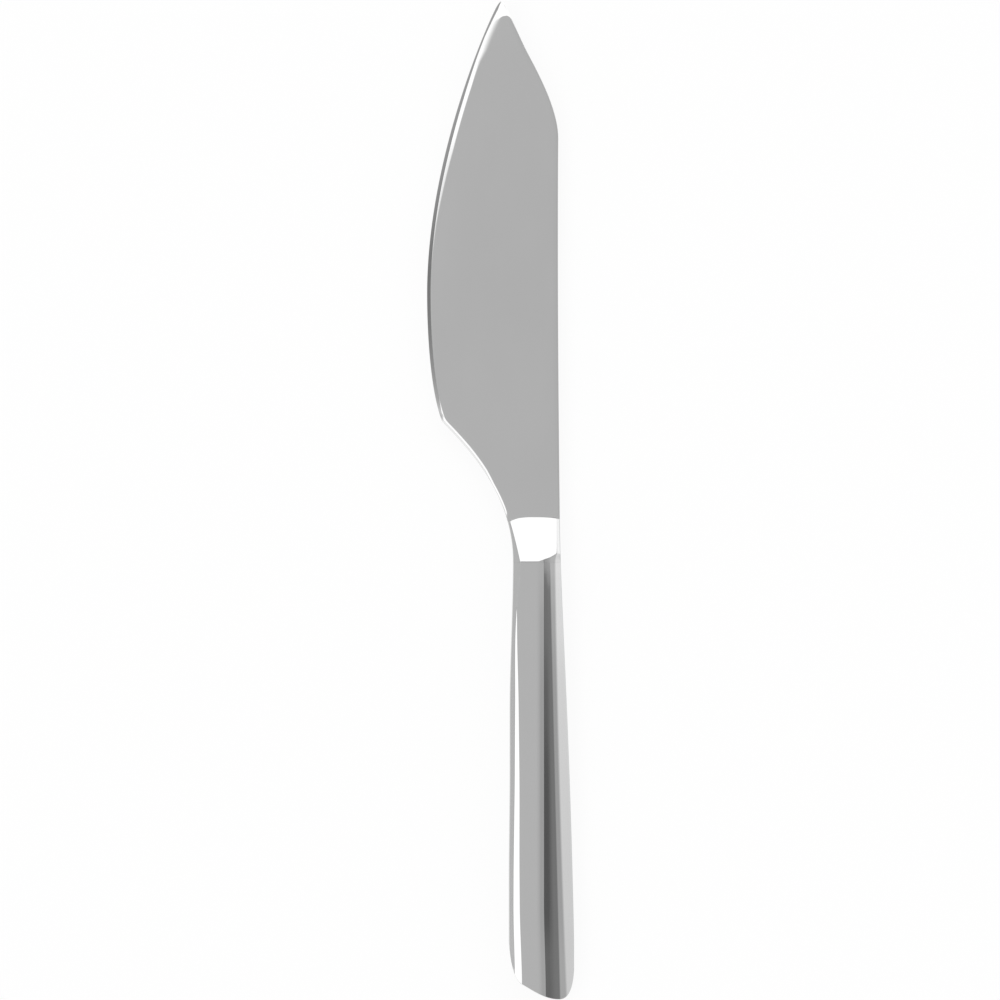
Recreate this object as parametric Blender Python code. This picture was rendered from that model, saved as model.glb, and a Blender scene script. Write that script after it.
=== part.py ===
"""Cake knife with a hollow steel handle, modelled as the pieces it is put together from.

The knife lies flat on its back. +Y runs from the butt to the tip, +X from the cutting edge to the
spine, and +Z away from the table. Pieces are modelled about the neck: x = 0 is the line of the
spine, y = 0 is the blade's shoulder and z = 0 is the middle of the blade's thickness. One empty
then moves them all so that the origin is at the middle of the underside. Sizes are in metres.
"""

import math
from itertools import pairwise

import bmesh
import bpy
import numpy as np

# Blade, in plan
BLADE_LENGTH = 0.1373  # shoulder to tip
BLADE_WIDTH = 0.0348  # line of the spine to the widest point of the cutting edge
TIP_OFFSET = 0.0153  # line of the spine to the tip
WIDEST_RISE = 0.0592  # shoulder to the widest point
HEEL_RISE = 0.0256  # shoulder to the corner at the heel
HEEL_SET_BACK = 0.0040  # widest point to the corner at the heel, across the blade
SPINE_RISE = 0.0953  # shoulder to where the spine starts to bend
POINT_LENGTH = 0.0157  # straight run of the spine at the tip, along the blade
POINT_DROP = 0.0081  # the same run, across the blade
SPINE_LEAN = 0.0004  # how far the spine stands out at the shoulder

# Blade, pull of each curve and the way it leaves its end
TIP_PULL = 0.0250
TIP_EDGE_DEG = 28.4
WIDEST_PULL_UP = 0.0249
WIDEST_PULL_DOWN = 0.0114
HEEL_EDGE_PULL = 0.0083
HEEL_EDGE_DEG = 21.4
HEEL_PULL = 0.0110
HEEL_CURVE_DEG = 45.5
NECK_PULL = 0.0172
SPINE_PULL = 0.0125
POINT_PULL = 0.0107

# Blade, through its thickness
BLADE_THICKNESS = 0.0016
EDGE_THICKNESS = 0.0004  # blunt, as a cake knife's edge is
EDGE_BEVEL = 0.0010  # ground strip at the widest point
TIP_GRIND_LENGTH = 0.0043  # tip to the point of the flat, along the blade
TIP_GRIND_WIDTH = 0.0013  # the same, across the blade
HEEL_BREAK = 0.0008  # bevel along the heel
SPINE_BREAK = 0.0002  # bevel along the spine

# Tang
TANG_LENGTH = 0.0620
TANG_THICKNESS = 0.0012
TANG_ROOT_WIDTH = 0.0075
TANG_END_WIDTH = 0.0055
TANG_HOLE_RADIUS = 0.0016
TANG_HOLE_FIRST = 0.0300  # shoulder to the first keying hole
TANG_HOLE_PITCH = 0.0180
TANG_HOLE_COUNT = 2

# Handle, in plan
HANDLE_LENGTH = 0.1277  # shoulder to butt
BOLSTER_LENGTH = 0.0114
NECK_EDGE_SIDE = 0.0120  # line of the spine to the edge side, at the end of the bolster
GRIP_EDGE_SIDE = 0.0131  # the same, along the grip
SWELL_LENGTH = 0.0480  # length over which the edge side swells
GRIP_SPINE_SIDE = 0.0043  # line of the spine to the spine side, at the butt
SPINE_SIDE_NECK_PULL = 0.0350
SPINE_SIDE_NECK_FLARE = 0.0011
SPINE_SIDE_BUTT_PULL = 0.0324
SPINE_SIDE_BUTT_FLARE = 0.0005

# Butt, in plan, measured up from its lowest point
BUTT_EDGE_CORNER = 0.0219  # start of the rounded corner on the edge side
BUTT_EDGE_PULL = 0.0108
BUTT_KNEE_OFFSET = 0.0087  # line of the spine to the knee between corner and slant
BUTT_KNEE_RISE = 0.0034
BUTT_KNEE_PULL_UP = 0.0050
BUTT_KNEE_PULL_DOWN = 0.0021
BUTT_SLANT_DEG = 34.0
BUTT_LOW_OFFSET = 0.0004  # line of the spine to the lowest point
BUTT_LOW_PULL_EDGE = 0.0022
BUTT_LOW_PULL_SPINE = 0.0048
BUTT_SPINE_CORNER = 0.0158  # start of the rounded corner on the spine side
BUTT_SPINE_PULL = 0.0084

# Handle, facets of its section
HANDLE_THICKNESS = 0.0096
MOUTH_THICKNESS = 0.0026  # bolster where the blade goes in
EDGE_WALL = 0.0064  # height of the upright wall on the edge side
EDGE_FACET_DEG = 43.0
CHAMFER_NECK = 0.0001  # width of the chamfer on the flat, at the end of the bolster
CHAMFER_BUTT = 0.0017  # the same, at the butt
CHAMFER_DEG = 15.0
RIDGE_OFFSET = 0.0038  # line of the spine to the ridge beside the flat
SLOPE_DEG = 11.0
BAND_WIDTH = 0.00115
BAND_DEG = 22.0
SPINE_FACET_NECK = 0.0010  # width of the facet on the spine side, at the shoulder
SPINE_FACET_BUTT = 0.0028
SPINE_FACET_DEG = 35.0

# Handle, inside
SHELL_WALL = 0.0008
SEAM_HEIGHT = 0.0006
SPIGOT_LENGTH = 0.0070
PLUG_LENGTH = 0.0150
FIT_GAP = 0.0003  # clearance between pieces that fit together

# Fineness of the model and reach of the cutting shapes
CURVE_STEPS = 14
LOOKUP_STEPS = 400  # of a curve that is read at a station
STATION_PITCH = 0.0035
HOLE_SIDES = 20
CUT_REACH = 0.0040  # how far a cutting shape runs past what it cuts
CORNER_REACH = 0.0002  # how far the butt's curve starts outside the handle's sides
SHARP_DEG = 20.0

# Finishes: colour, roughness and metallic value
POLISHED_STEEL = ((0.62, 0.62, 0.63), 0.13, 1.0)
BRAZE_ALLOY = ((0.66, 0.64, 0.60), 0.20, 1.0)
CEMENT = ((0.42, 0.40, 0.37), 0.85, 0.0)

HALF_BLADE = BLADE_THICKNESS / 2
HALF_HANDLE = HANDLE_THICKNESS / 2
SHELL_START = -BOLSTER_LENGTH - FIT_GAP
PLUG_START = -HANDLE_LENGTH + PLUG_LENGTH


def clear_scene():
    """Remove every object of the scene that the script starts in."""
    for item in list(bpy.data.objects):
        bpy.data.objects.remove(item, do_unlink=True)


def heading(angle_deg):
    """Unit vector in plan that points down the blade, turned by an angle towards the spine."""
    angle = math.radians(angle_deg)
    return np.array([math.sin(angle), -math.cos(angle)])


def cubic(start, start_pull, end_pull, end, t):
    """Points of the cubic curve with these four control points, at the shares t of its run."""
    t = np.asarray(t)[:, None]
    early = (1 - t) ** 3 * start + 3 * t * (1 - t) ** 2 * start_pull
    return early + 3 * t**2 * (1 - t) * end_pull + t**3 * end


def shares(steps=CURVE_STEPS):
    """Even shares of a curve's run, both ends included."""
    return np.linspace(0.0, 1.0, steps + 1)


def ease_out(share):
    """Rise from 0 to 1 that is fast at first and level at its end."""
    return 1 - (1 - share) ** 2


def ease_in_out(share):
    """Rise from 0 to 1 that is level at both ends."""
    return share * share * (3 - 2 * share)


def heel_curve(bevel, t):
    """Concave run from the heel's corner, past the shoulder, to the end of the bolster."""
    lean = math.radians(HEEL_CURVE_DEG)
    corner = np.array([-BLADE_WIDTH + HEEL_SET_BACK, HEEL_RISE])
    corner = corner + bevel * np.array([math.sin(lean), math.cos(lean)])
    neck = np.array([-NECK_EDGE_SIDE + bevel, -BOLSTER_LENGTH])
    leave = HEEL_PULL * np.array([math.cos(lean), -math.sin(lean)])
    return cubic(corner, corner + leave, neck + [0.0, NECK_PULL], neck, t)


def share_at_shoulder(bevel):
    """Share of the heel's curve that is run when it reaches the shoulder."""
    fine = shares(LOOKUP_STEPS)
    return np.interp(0.0, heel_curve(bevel, fine)[::-1, 1], fine[::-1])


def edge_side(y):
    """Place of the handle's edge side at a station y."""
    if y >= -BOLSTER_LENGTH:
        curve = heel_curve(0.0, shares(LOOKUP_STEPS))[::-1]
        return float(np.interp(y, curve[:, 1], curve[:, 0]))
    swell = ease_in_out(min((-BOLSTER_LENGTH - y) / SWELL_LENGTH, 1.0))
    return -NECK_EDGE_SIDE - (GRIP_EDGE_SIDE - NECK_EDGE_SIDE) * swell


def spine_side(y):
    """Place of the handle's spine side at a station y."""
    grip_end = -HANDLE_LENGTH + BUTT_SPINE_CORNER
    start = np.array([SPINE_LEAN, 0.0])
    start_pull = start + [SPINE_SIDE_NECK_FLARE, -SPINE_SIDE_NECK_PULL]
    end = np.array([GRIP_SPINE_SIDE, grip_end])
    end_pull = end + [-SPINE_SIDE_BUTT_FLARE, SPINE_SIDE_BUTT_PULL]
    curve = cubic(start, start_pull, end_pull, end, shares(LOOKUP_STEPS))[::-1]
    return float(np.interp(y, curve[:, 1], curve[:, 0]))


def blade_outline(tip_shift, edge_bevel, heel_bevel, spine_bevel):
    """Closed outline in plan from the tip down the cutting edge, round the heel and up the spine.

    All shifts are zero for the outline itself. Those of the bevels give the edge of the flat.
    """
    tip = np.array([-TIP_OFFSET, BLADE_LENGTH])
    bend_end = tip + [POINT_DROP, -POINT_LENGTH]
    point_run = (tip - bend_end) / np.linalg.norm(tip - bend_end)
    bend_end = bend_end - spine_bevel * np.array([point_run[1], -point_run[0]])
    tip = tip + tip_shift
    widest = np.array([-BLADE_WIDTH + edge_bevel, WIDEST_RISE])
    heel = heel_curve(heel_bevel, np.linspace(0.0, share_at_shoulder(heel_bevel), CURVE_STEPS + 1))
    corner = heel[0]
    bend_start = np.array([-spine_bevel, SPINE_RISE])
    foot = np.array([SPINE_LEAN - spine_bevel, 0.0])
    upper_edge = cubic(
        tip,
        tip + TIP_PULL * heading(-TIP_EDGE_DEG),
        widest + [0.0, WIDEST_PULL_UP],
        widest,
        shares(),
    )
    lower_edge = cubic(
        widest,
        widest - [0.0, WIDEST_PULL_DOWN],
        corner - HEEL_EDGE_PULL * heading(HEEL_EDGE_DEG),
        corner,
        shares(),
    )
    bend = cubic(
        bend_start,
        bend_start + [0.0, SPINE_PULL],
        bend_end - POINT_PULL * point_run,
        bend_end,
        shares(),
    )
    return np.vstack([upper_edge, lower_edge[1:], heel[1:], foot[None], bend])


def butt_outline():
    """Run of the butt in plan: rounded corner, slant, lowest point and the other rounded corner."""
    lowest_y = -HANDLE_LENGTH
    start = np.array([-GRIP_EDGE_SIDE - CORNER_REACH, lowest_y + BUTT_EDGE_CORNER])
    knee = np.array([-BUTT_KNEE_OFFSET, lowest_y + BUTT_KNEE_RISE])
    slant = heading(90.0 - BUTT_SLANT_DEG)
    lowest = np.array([-BUTT_LOW_OFFSET, lowest_y])
    end = np.array([GRIP_SPINE_SIDE + CORNER_REACH, lowest_y + BUTT_SPINE_CORNER])
    edge_corner = cubic(
        start,
        start - [0.0, BUTT_EDGE_PULL],
        knee - BUTT_KNEE_PULL_UP * slant,
        knee,
        shares(),
    )
    slanted = cubic(
        knee,
        knee + BUTT_KNEE_PULL_DOWN * slant,
        lowest - [BUTT_LOW_PULL_EDGE, 0.0],
        lowest,
        shares(),
    )
    spine_corner = cubic(
        lowest,
        lowest + [BUTT_LOW_PULL_SPINE, 0.0],
        end - [0.0, BUTT_SPINE_PULL],
        end,
        shares(),
    )
    return np.vstack([edge_corner, slanted[1:], spine_corner[1:]])


def facet(x, z, tilt_deg):
    """Line of a facet in a section: its outward normal leans from +Z towards +X by the tilt."""
    tilt = math.radians(tilt_deg)
    normal = (math.sin(tilt), math.cos(tilt))
    return normal[0], normal[1], normal[0] * x + normal[1] * z


def corner_points(lines, inset):
    """Corners where each line meets the next, with every line moved inwards by the inset."""
    points = []
    for (ax, az, a), (bx, bz, b) in pairwise(lines):
        a_in = a - inset
        b_in = b - inset
        spread = ax * bz - az * bx
        points.append(((a_in * bz - az * b_in) / spread, (ax * b_in - a_in * bx) / spread))
    return points


def edge_wall_half(y):
    """Half height of the upright wall on the edge side, which grows out of the blade's own."""
    along = min(-y / BOLSTER_LENGTH, 1.0)
    return HALF_BLADE + (EDGE_WALL / 2 - HALF_BLADE) * ease_out(along)


def spine_facets(y):
    """Corners of the spine side's facets at y: where the band and the facet start, and the wall."""
    width = SPINE_FACET_NECK + (SPINE_FACET_BUTT - SPINE_FACET_NECK) * ease_out(-y / HANDLE_LENGTH)
    facet_x = spine_side(y) - width
    band_x = facet_x - BAND_WIDTH
    band_z = HALF_HANDLE - (band_x + RIDGE_OFFSET) * math.tan(math.radians(SLOPE_DEG))
    facet_z = band_z - BAND_WIDTH * math.tan(math.radians(BAND_DEG))
    wall_z = facet_z - width * math.tan(math.radians(SPINE_FACET_DEG))
    return (band_x, band_z), (facet_x, facet_z), wall_z


def front_half(y, inset=0.0, fine=False):
    """Corners of the handle's front half at y, from the edge side to the spine side.

    The fine half also has the chamfer beside the flat and the band beside the slope.
    """
    left = edge_side(y)
    band, spine_corner, _ = spine_facets(y)
    edge_line = facet(left, edge_wall_half(y), -EDGE_FACET_DEG)
    flat_line = facet(0.0, HALF_HANDLE, 0.0)
    lines = [facet(left, 0.0, -90.0), edge_line]
    if fine:
        along = (SHELL_START - y) / (HANDLE_LENGTH + SHELL_START)
        width = CHAMFER_NECK + (CHAMFER_BUTT - CHAMFER_NECK) * along
        ((shoulder_x, _),) = corner_points([edge_line, flat_line], 0.0)
        lines.append(facet(shoulder_x + width, HALF_HANDLE, -CHAMFER_DEG))
    lines += [flat_line, facet(-RIDGE_OFFSET, HALF_HANDLE, SLOPE_DEG)]
    if fine:
        lines.append(facet(*band, BAND_DEG))
    lines += [facet(*spine_corner, SPINE_FACET_DEG), facet(spine_side(y), 0.0, 90.0)]
    return corner_points(lines, inset)


def stations(start, end):
    """Stations from start to end, no further apart than the pitch."""
    return np.linspace(start, end, math.ceil(abs(end - start) / STATION_PITCH) + 1)


def across(y, corners):
    """Section corners (x, z) placed at a station y."""
    return [(x, y, z) for x, z in corners]


def mirrored(corners):
    """Front half closed by its mirror image behind the middle plane."""
    return list(corners) + [(x, -z) for x, z in reversed(corners)]


def core_rings(start, end, inset):
    """Sections of the handle's inside, moved in from its outside by the inset."""
    return [across(y, mirrored(front_half(y, inset))) for y in stations(start, end)]


def skin(name, rings):
    """Closed object whose surface joins each ring of points to the next and caps both ends."""
    mesh = bpy.data.meshes.new(name)
    shape = bmesh.new()
    loops = [[shape.verts.new(point) for point in ring] for ring in rings]
    for lower, upper in pairwise(loops):
        count = len(lower)
        for i in range(count):
            j = (i + 1) % count
            shape.faces.new((lower[i], lower[j], upper[j], upper[i]))
    shape.faces.new(loops[0])
    shape.faces.new(loops[-1])
    bmesh.ops.recalc_face_normals(shape, faces=shape.faces)
    shape.to_mesh(mesh)
    shape.free()
    piece = bpy.data.objects.new(name, mesh)
    bpy.context.scene.collection.objects.link(piece)
    return piece


def prism(name, outline, low, high):
    """Upright prism over an outline in plan."""
    return skin(name, [[(x, y, z) for x, y in outline] for z in (low, high)])


def hidden(cutter):
    """Mark an object as a cutting shape, which is no piece of the knife."""
    cutter.hide_render = True
    cutter.display_type = "WIRE"
    return cutter


def combine(piece, tool, operation):
    """Add a Boolean of a piece with a hidden tool."""
    step = piece.modifiers.new(f"{operation.lower()}_{tool.name}", "BOOLEAN")
    step.operation = operation
    step.solver = "EXACT"
    step.object = hidden(tool)


def finish(piece, parent, look):
    """Give a piece its own material, smooth shading with sharp edges, and its parent."""
    colour, roughness, metallic = look
    material = bpy.data.materials.new(f"{piece.name}_finish")
    material.use_nodes = True
    shader = material.node_tree.nodes["Principled BSDF"]
    shader.inputs["Base Color"].default_value = (*colour, 1.0)
    shader.inputs["Roughness"].default_value = roughness
    shader.inputs["Metallic"].default_value = metallic
    piece.data.materials.append(material)
    piece.data.shade_smooth()
    piece.data.set_sharp_from_angle(angle=math.radians(SHARP_DEG))
    piece.parent = parent


def tang_centre():
    """Middle of the shoulder, across the blade."""
    return (edge_side(0.0) + SPINE_LEAN) / 2


def tang_shape(name, clearance=0.0):
    """Tapered tang with its root inside the blade, or with a clearance the room that it needs."""
    middle = tang_centre()
    root = TANG_ROOT_WIDTH / 2 + clearance
    end = TANG_END_WIDTH / 2 + clearance
    end_y = -TANG_LENGTH - clearance
    plan = [
        (middle - root, CUT_REACH),
        (middle - end, end_y),
        (middle + end, end_y),
        (middle + root, CUT_REACH),
    ]
    half = TANG_THICKNESS / 2 + clearance
    return prism(name, plan, -half, half)


def tang_posts(name, radius, half_height):
    """Round posts through the tang's keying holes, one object each."""
    turns = np.linspace(0.0, math.tau, HOLE_SIDES, endpoint=False)
    posts = []
    for number in range(TANG_HOLE_COUNT):
        y = -TANG_HOLE_FIRST - number * TANG_HOLE_PITCH
        circle = [(tang_centre() + radius * math.cos(a), y + radius * math.sin(a)) for a in turns]
        posts.append(prism(f"{name}_{number + 1}", circle, -half_height, half_height))
    return posts


def make_blade():
    """Plate with a ground edge, bevelled heel and spine, and the tang with its keying holes."""
    outline = blade_outline(np.zeros(2), 0.0, 0.0, 0.0)
    tip_shift = np.array([TIP_GRIND_WIDTH, -TIP_GRIND_LENGTH])
    flat = blade_outline(tip_shift, EDGE_BEVEL, HEEL_BREAK, SPINE_BREAK)
    half_edge = EDGE_THICKNESS / 2
    levels = [(flat, -HALF_BLADE), (outline, -half_edge), (outline, half_edge), (flat, HALF_BLADE)]
    blade = skin("blade", [[(x, y, z) for x, y in plan] for plan, z in levels])
    combine(blade, tang_shape("tang"), "UNION")
    for hole in tang_posts("tang_hole", TANG_HOLE_RADIUS, HALF_BLADE + CUT_REACH):
        combine(blade, hole, "DIFFERENCE")
    return blade


def ramp_half(y):
    """Half thickness of the bolster at y: it rises evenly from the mouth to the shells' flat."""
    return MOUTH_THICKNESS / 2 + (HALF_HANDLE - MOUTH_THICKNESS / 2) * y / SHELL_START


def ramp_section(y):
    """Bolster's front half at y: wall, edge facet, ramp, spine facet and wall."""
    along = min(-y / BOLSTER_LENGTH, 1.0)
    _, _, grip_wall = spine_facets(y)
    spine_wall = HALF_BLADE + (grip_wall - HALF_BLADE) * ease_out(along)
    lines = [
        facet(edge_side(y), 0.0, -90.0),
        facet(edge_side(y), edge_wall_half(y), -EDGE_FACET_DEG),
        facet(0.0, ramp_half(y), 0.0),
        facet(spine_side(y), spine_wall, SPINE_FACET_DEG),
        facet(spine_side(y), 0.0, 90.0),
    ]
    return corner_points(lines, 0.0)


def roof_section(y):
    """Front half of a cutting shape at y that carries the grip's slope and band over the ramp."""
    band, _, _ = spine_facets(y)
    lines = [
        facet(edge_side(y) - CUT_REACH, 0.0, -90.0),
        facet(-RIDGE_OFFSET, HALF_HANDLE, SLOPE_DEG),
        facet(*band, BAND_DEG),
        facet(spine_side(y) + CUT_REACH, 0.0, 90.0),
    ]
    return corner_points(lines, 0.0)


def make_bolster():
    """Neck piece: ramp from the blade to the grip, spigot into the shells and slot for the tang."""
    front = stations(-FIT_GAP, -BOLSTER_LENGTH)
    bolster = skin("bolster", [across(y, mirrored(ramp_section(y))) for y in front])
    roof_run = stations(CUT_REACH, -BOLSTER_LENGTH - CUT_REACH)
    roof = skin("bolster_roof", [across(y, mirrored(roof_section(min(y, 0.0)))) for y in roof_run])
    combine(bolster, roof, "INTERSECT")
    spigot_start = -BOLSTER_LENGTH + SHELL_WALL
    spigot_end = SHELL_START - SPIGOT_LENGTH
    spigot = skin("spigot", core_rings(spigot_start, spigot_end, SHELL_WALL + FIT_GAP))
    combine(bolster, spigot, "UNION")
    combine(bolster, tang_shape("tang_slot", FIT_GAP), "DIFFERENCE")
    return bolster


def butt_trim():
    """Cutting shape that keeps the handle's side of the butt's outline."""
    curve = butt_outline()
    left = -GRIP_EDGE_SIDE - CUT_REACH
    right = GRIP_SPINE_SIDE + CUT_REACH
    corners = [(right, curve[-1][1]), (right, CUT_REACH), (left, CUT_REACH), (left, curve[0][1])]
    tall = HALF_HANDLE + CUT_REACH
    return prism("butt_trim", [*map(tuple, curve), *corners], -tall, tall)


def make_shell(name, side, trim, cavity):
    """Pressed half of the handle: side is 1 for the front and -1 for the back."""
    rim = SEAM_HEIGHT / 2 + FIT_GAP
    rings = []
    for y in stations(SHELL_START, -HANDLE_LENGTH - CUT_REACH):
        half = [(edge_side(y), rim), *front_half(y, fine=True), (spine_side(y), rim)]
        rings.append(across(y, [(x, side * z) for x, z in half]))
    shell = skin(name, rings)
    combine(shell, trim, "INTERSECT")
    combine(shell, cavity, "DIFFERENCE")
    return shell


def make_seam(name, side_at, wall, trim):
    """Braze between the shells' rims, as thick as their wall, along one side of the handle."""
    half = SEAM_HEIGHT / 2
    rings = []
    for y in stations(SHELL_START, -HANDLE_LENGTH - CUT_REACH):
        outer = side_at(y)
        inner = outer + wall
        rings.append(across(y, [(outer, -half), (outer, half), (inner, half), (inner, -half)]))
    seam = skin(name, rings)
    combine(seam, trim, "INTERSECT")
    return seam


def make_plug(trim):
    """Solid end piece that closes the shells at the butt."""
    rings = core_rings(PLUG_START, -HANDLE_LENGTH - CUT_REACH, SHELL_WALL + FIT_GAP)
    plug = skin("butt_plug", rings)
    combine(plug, trim, "INTERSECT")
    return plug


def make_cement():
    """Filler cast round the tang, between the bolster's spigot and the plug."""
    start = SHELL_START - SPIGOT_LENGTH - FIT_GAP
    end = PLUG_START + FIT_GAP
    cement = skin("tang_cement", core_rings(start, end, SHELL_WALL + FIT_GAP))
    pocket = tang_shape("tang_pocket", FIT_GAP)
    for post in tang_posts("cement_post", TANG_HOLE_RADIUS - FIT_GAP, HALF_HANDLE):
        combine(pocket, post, "DIFFERENCE")
    combine(cement, pocket, "DIFFERENCE")
    return cement


def make_knife():
    """Build every piece under one empty that puts the origin at the middle of the underside."""
    knife = bpy.data.objects.new("cake_knife", None)
    bpy.context.scene.collection.objects.link(knife)
    knife.location = (
        (BLADE_WIDTH - GRIP_SPINE_SIDE) / 2,
        (HANDLE_LENGTH - BLADE_LENGTH) / 2,
        HALF_HANDLE,
    )
    trim = butt_trim()
    cavity_end = -HANDLE_LENGTH - 2 * CUT_REACH
    cavity = skin("cavity", core_rings(SHELL_START + CUT_REACH, cavity_end, SHELL_WALL))
    pieces = [
        (make_blade(), POLISHED_STEEL),
        (make_bolster(), POLISHED_STEEL),
        (make_shell("handle_front_shell", 1, trim, cavity), POLISHED_STEEL),
        (make_shell("handle_back_shell", -1, trim, cavity), POLISHED_STEEL),
        (make_plug(trim), POLISHED_STEEL),
        (make_seam("edge_side_seam", edge_side, SHELL_WALL, trim), BRAZE_ALLOY),
        (make_seam("spine_side_seam", spine_side, -SHELL_WALL, trim), BRAZE_ALLOY),
        (make_cement(), CEMENT),
    ]
    for piece, look in pieces:
        finish(piece, knife, look)
    for tool in bpy.data.objects:
        if tool.display_type == "WIRE":
            tool.parent = knife


clear_scene()
make_knife()
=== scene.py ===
"""Looks of a cake knife with a hollow steel handle, lying flat on a white table.

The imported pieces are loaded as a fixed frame. Each visible piece gets a fine surface over its solid,
worked out in the knife's own millimetres: x = 0 is the line of the spine, y = 0 is the blade's shoulder
and z = 0 is the middle of the blade's thickness. +Y runs to the tip, +X from the cutting edge to the
spine, and +Z up from the table.
"""

import logging
import math
from dataclasses import dataclass
from enum import Enum, IntEnum

import bmesh
import bpy
import numpy as np
from numpy.typing import NDArray
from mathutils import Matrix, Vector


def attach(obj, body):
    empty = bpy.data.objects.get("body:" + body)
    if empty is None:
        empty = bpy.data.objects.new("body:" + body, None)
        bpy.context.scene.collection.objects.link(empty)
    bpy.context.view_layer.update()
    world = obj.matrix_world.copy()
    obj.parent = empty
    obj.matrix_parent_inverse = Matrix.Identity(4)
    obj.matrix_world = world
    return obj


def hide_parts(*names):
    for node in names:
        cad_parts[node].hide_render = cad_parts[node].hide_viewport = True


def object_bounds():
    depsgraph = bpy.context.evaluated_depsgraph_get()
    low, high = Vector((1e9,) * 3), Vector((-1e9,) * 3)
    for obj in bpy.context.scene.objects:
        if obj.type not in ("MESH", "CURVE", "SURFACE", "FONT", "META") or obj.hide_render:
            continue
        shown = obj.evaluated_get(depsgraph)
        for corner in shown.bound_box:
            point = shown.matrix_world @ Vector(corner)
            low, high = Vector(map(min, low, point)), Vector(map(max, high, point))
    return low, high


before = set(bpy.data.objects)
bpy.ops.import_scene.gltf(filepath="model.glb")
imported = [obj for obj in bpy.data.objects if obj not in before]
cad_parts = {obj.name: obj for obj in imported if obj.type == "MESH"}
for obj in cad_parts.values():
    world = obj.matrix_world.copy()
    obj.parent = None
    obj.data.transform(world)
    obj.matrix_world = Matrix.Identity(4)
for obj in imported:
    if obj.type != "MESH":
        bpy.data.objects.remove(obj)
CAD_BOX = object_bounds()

Array = NDArray[np.float64]
Point = tuple[float, float]
Triple = tuple[float, float, float]
Values = tuple[float, ...]
Surface = tuple[Array, Array]

BODY = "root"
MM = 0.001
WELD = 2e-6  # metres within which two points of a mesh are one
SHARP_DEG = 38.0  # edges that turn by more than this are shaded as creases
LEAST_LEG = 1e-9  # keeps a leg of no length out of a division
WHITE = (1.0, 1.0, 1.0, 1.0)
MIX_SHARE, MIX_LOW, MIX_HIGH, MIX_RESULT = 0, 6, 7, 2  # sockets of a Mix node that mixes colours
LOG = logging.getLogger("cake_knife")


class Slot(Enum):
    """Material slots of the record."""

    BLADE = "blade_steel"
    HANDLE = "handle_steel"
    BRAZE = "braze_alloy"
    CEMENT = "cement"


class Side(Enum):
    """Halves of the handle: above or below the middle of the blade's thickness."""

    FRONT = 1.0
    BACK = -1.0


class Flank(Enum):
    """Long sides of the handle."""

    EDGE = "edge"
    SPINE = "spine"


class Corner(IntEnum):
    """Corners of a handle section's front half, from the edge side to the spine side.

    Each is named for the facet that follows it.
    """

    STEEP = 0
    CHAMFER = 1
    FLAT = 2
    SHOULDER = 3
    SLOPE = 4
    FAR_SLOPE = 5
    BAND = 6
    SPINE_FACET = 7
    SPINE_WALL = 8


def cubic(controls: list[Point], count: int = 400) -> Array:
    """Points of a cubic curve, (1-t)^3 a + 3 t (1-t)^2 b + 3 t^2 (1-t) c + t^3 d, with t in even steps.

    Args:
        controls: the four control points a, b, c and d.
        count: how many points are wanted.

    Returns:
        Points of shape (count, 2).
    """
    t = np.linspace(0.0, 1.0, count)[:, None]
    a, b, c, d = (np.asarray(point, float) for point in controls)
    return (1 - t) ** 3 * a + 3 * t * (1 - t) ** 2 * b + 3 * t**2 * (1 - t) * c + t**3 * d


def ahead(point: Point, distance: float, angle_deg: float) -> Point:
    """Point at a distance down the blade, along a heading turned by an angle towards the spine."""
    angle = math.radians(angle_deg)
    return point[0] + distance * math.sin(angle), point[1] - distance * math.cos(angle)


def smooth(low: float, high: float, x: Array) -> Array:
    """Rise from 0 at low to 1 at high, level at both ends: 3 s^2 - 2 s^3 of the clipped share s."""
    share = np.clip((np.asarray(x, float) - low) / (high - low), 0.0, 1.0)
    return share * share * (3 - 2 * share)


def eased(stations: Values, values: Values, x: Array) -> Array:
    """Value at x, eased between stations: the first station's value plus a smooth rise for each step."""
    steps = zip(stations[:-1], stations[1:], values[:-1], values[1:])
    return values[0] + sum((there - here) * smooth(low, high, x) for low, high, here, there in steps)


def tangent(deg: Array) -> Array:
    """Slope of a facet that is tilted by an angle in degrees."""
    return np.tan(np.radians(deg))


def read_pairs(at: Array, stations: Array, pairs: Array) -> Array:
    """Pairs of numbers between stations, each of the two by straight lines."""
    return np.column_stack([np.interp(at, stations, pairs[:, axis]) for axis in (0, 1)])


def at_height(y: Array, line: Array, values: Array) -> Array:
    """Values beside a line that runs down the blade, where it passes the heights y."""
    return np.interp(y, line[::-1, 1], values[::-1])


def averaged(points: Array, half: int) -> Array:
    """Each point of a line as the mean of itself and its neighbours, with the ends held.

    Args:
        points: the line, of shape (n, 2).
        half: how many neighbours on each side take part.

    Returns:
        The averaged line, of the same shape.
    """
    padded = np.pad(points, ((half, half), (0, 0)), mode="edge")
    window = np.ones(2 * half + 1) / (2 * half + 1)
    return np.column_stack([np.convolve(padded[:, axis], window, "valid") for axis in (0, 1)])


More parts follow.
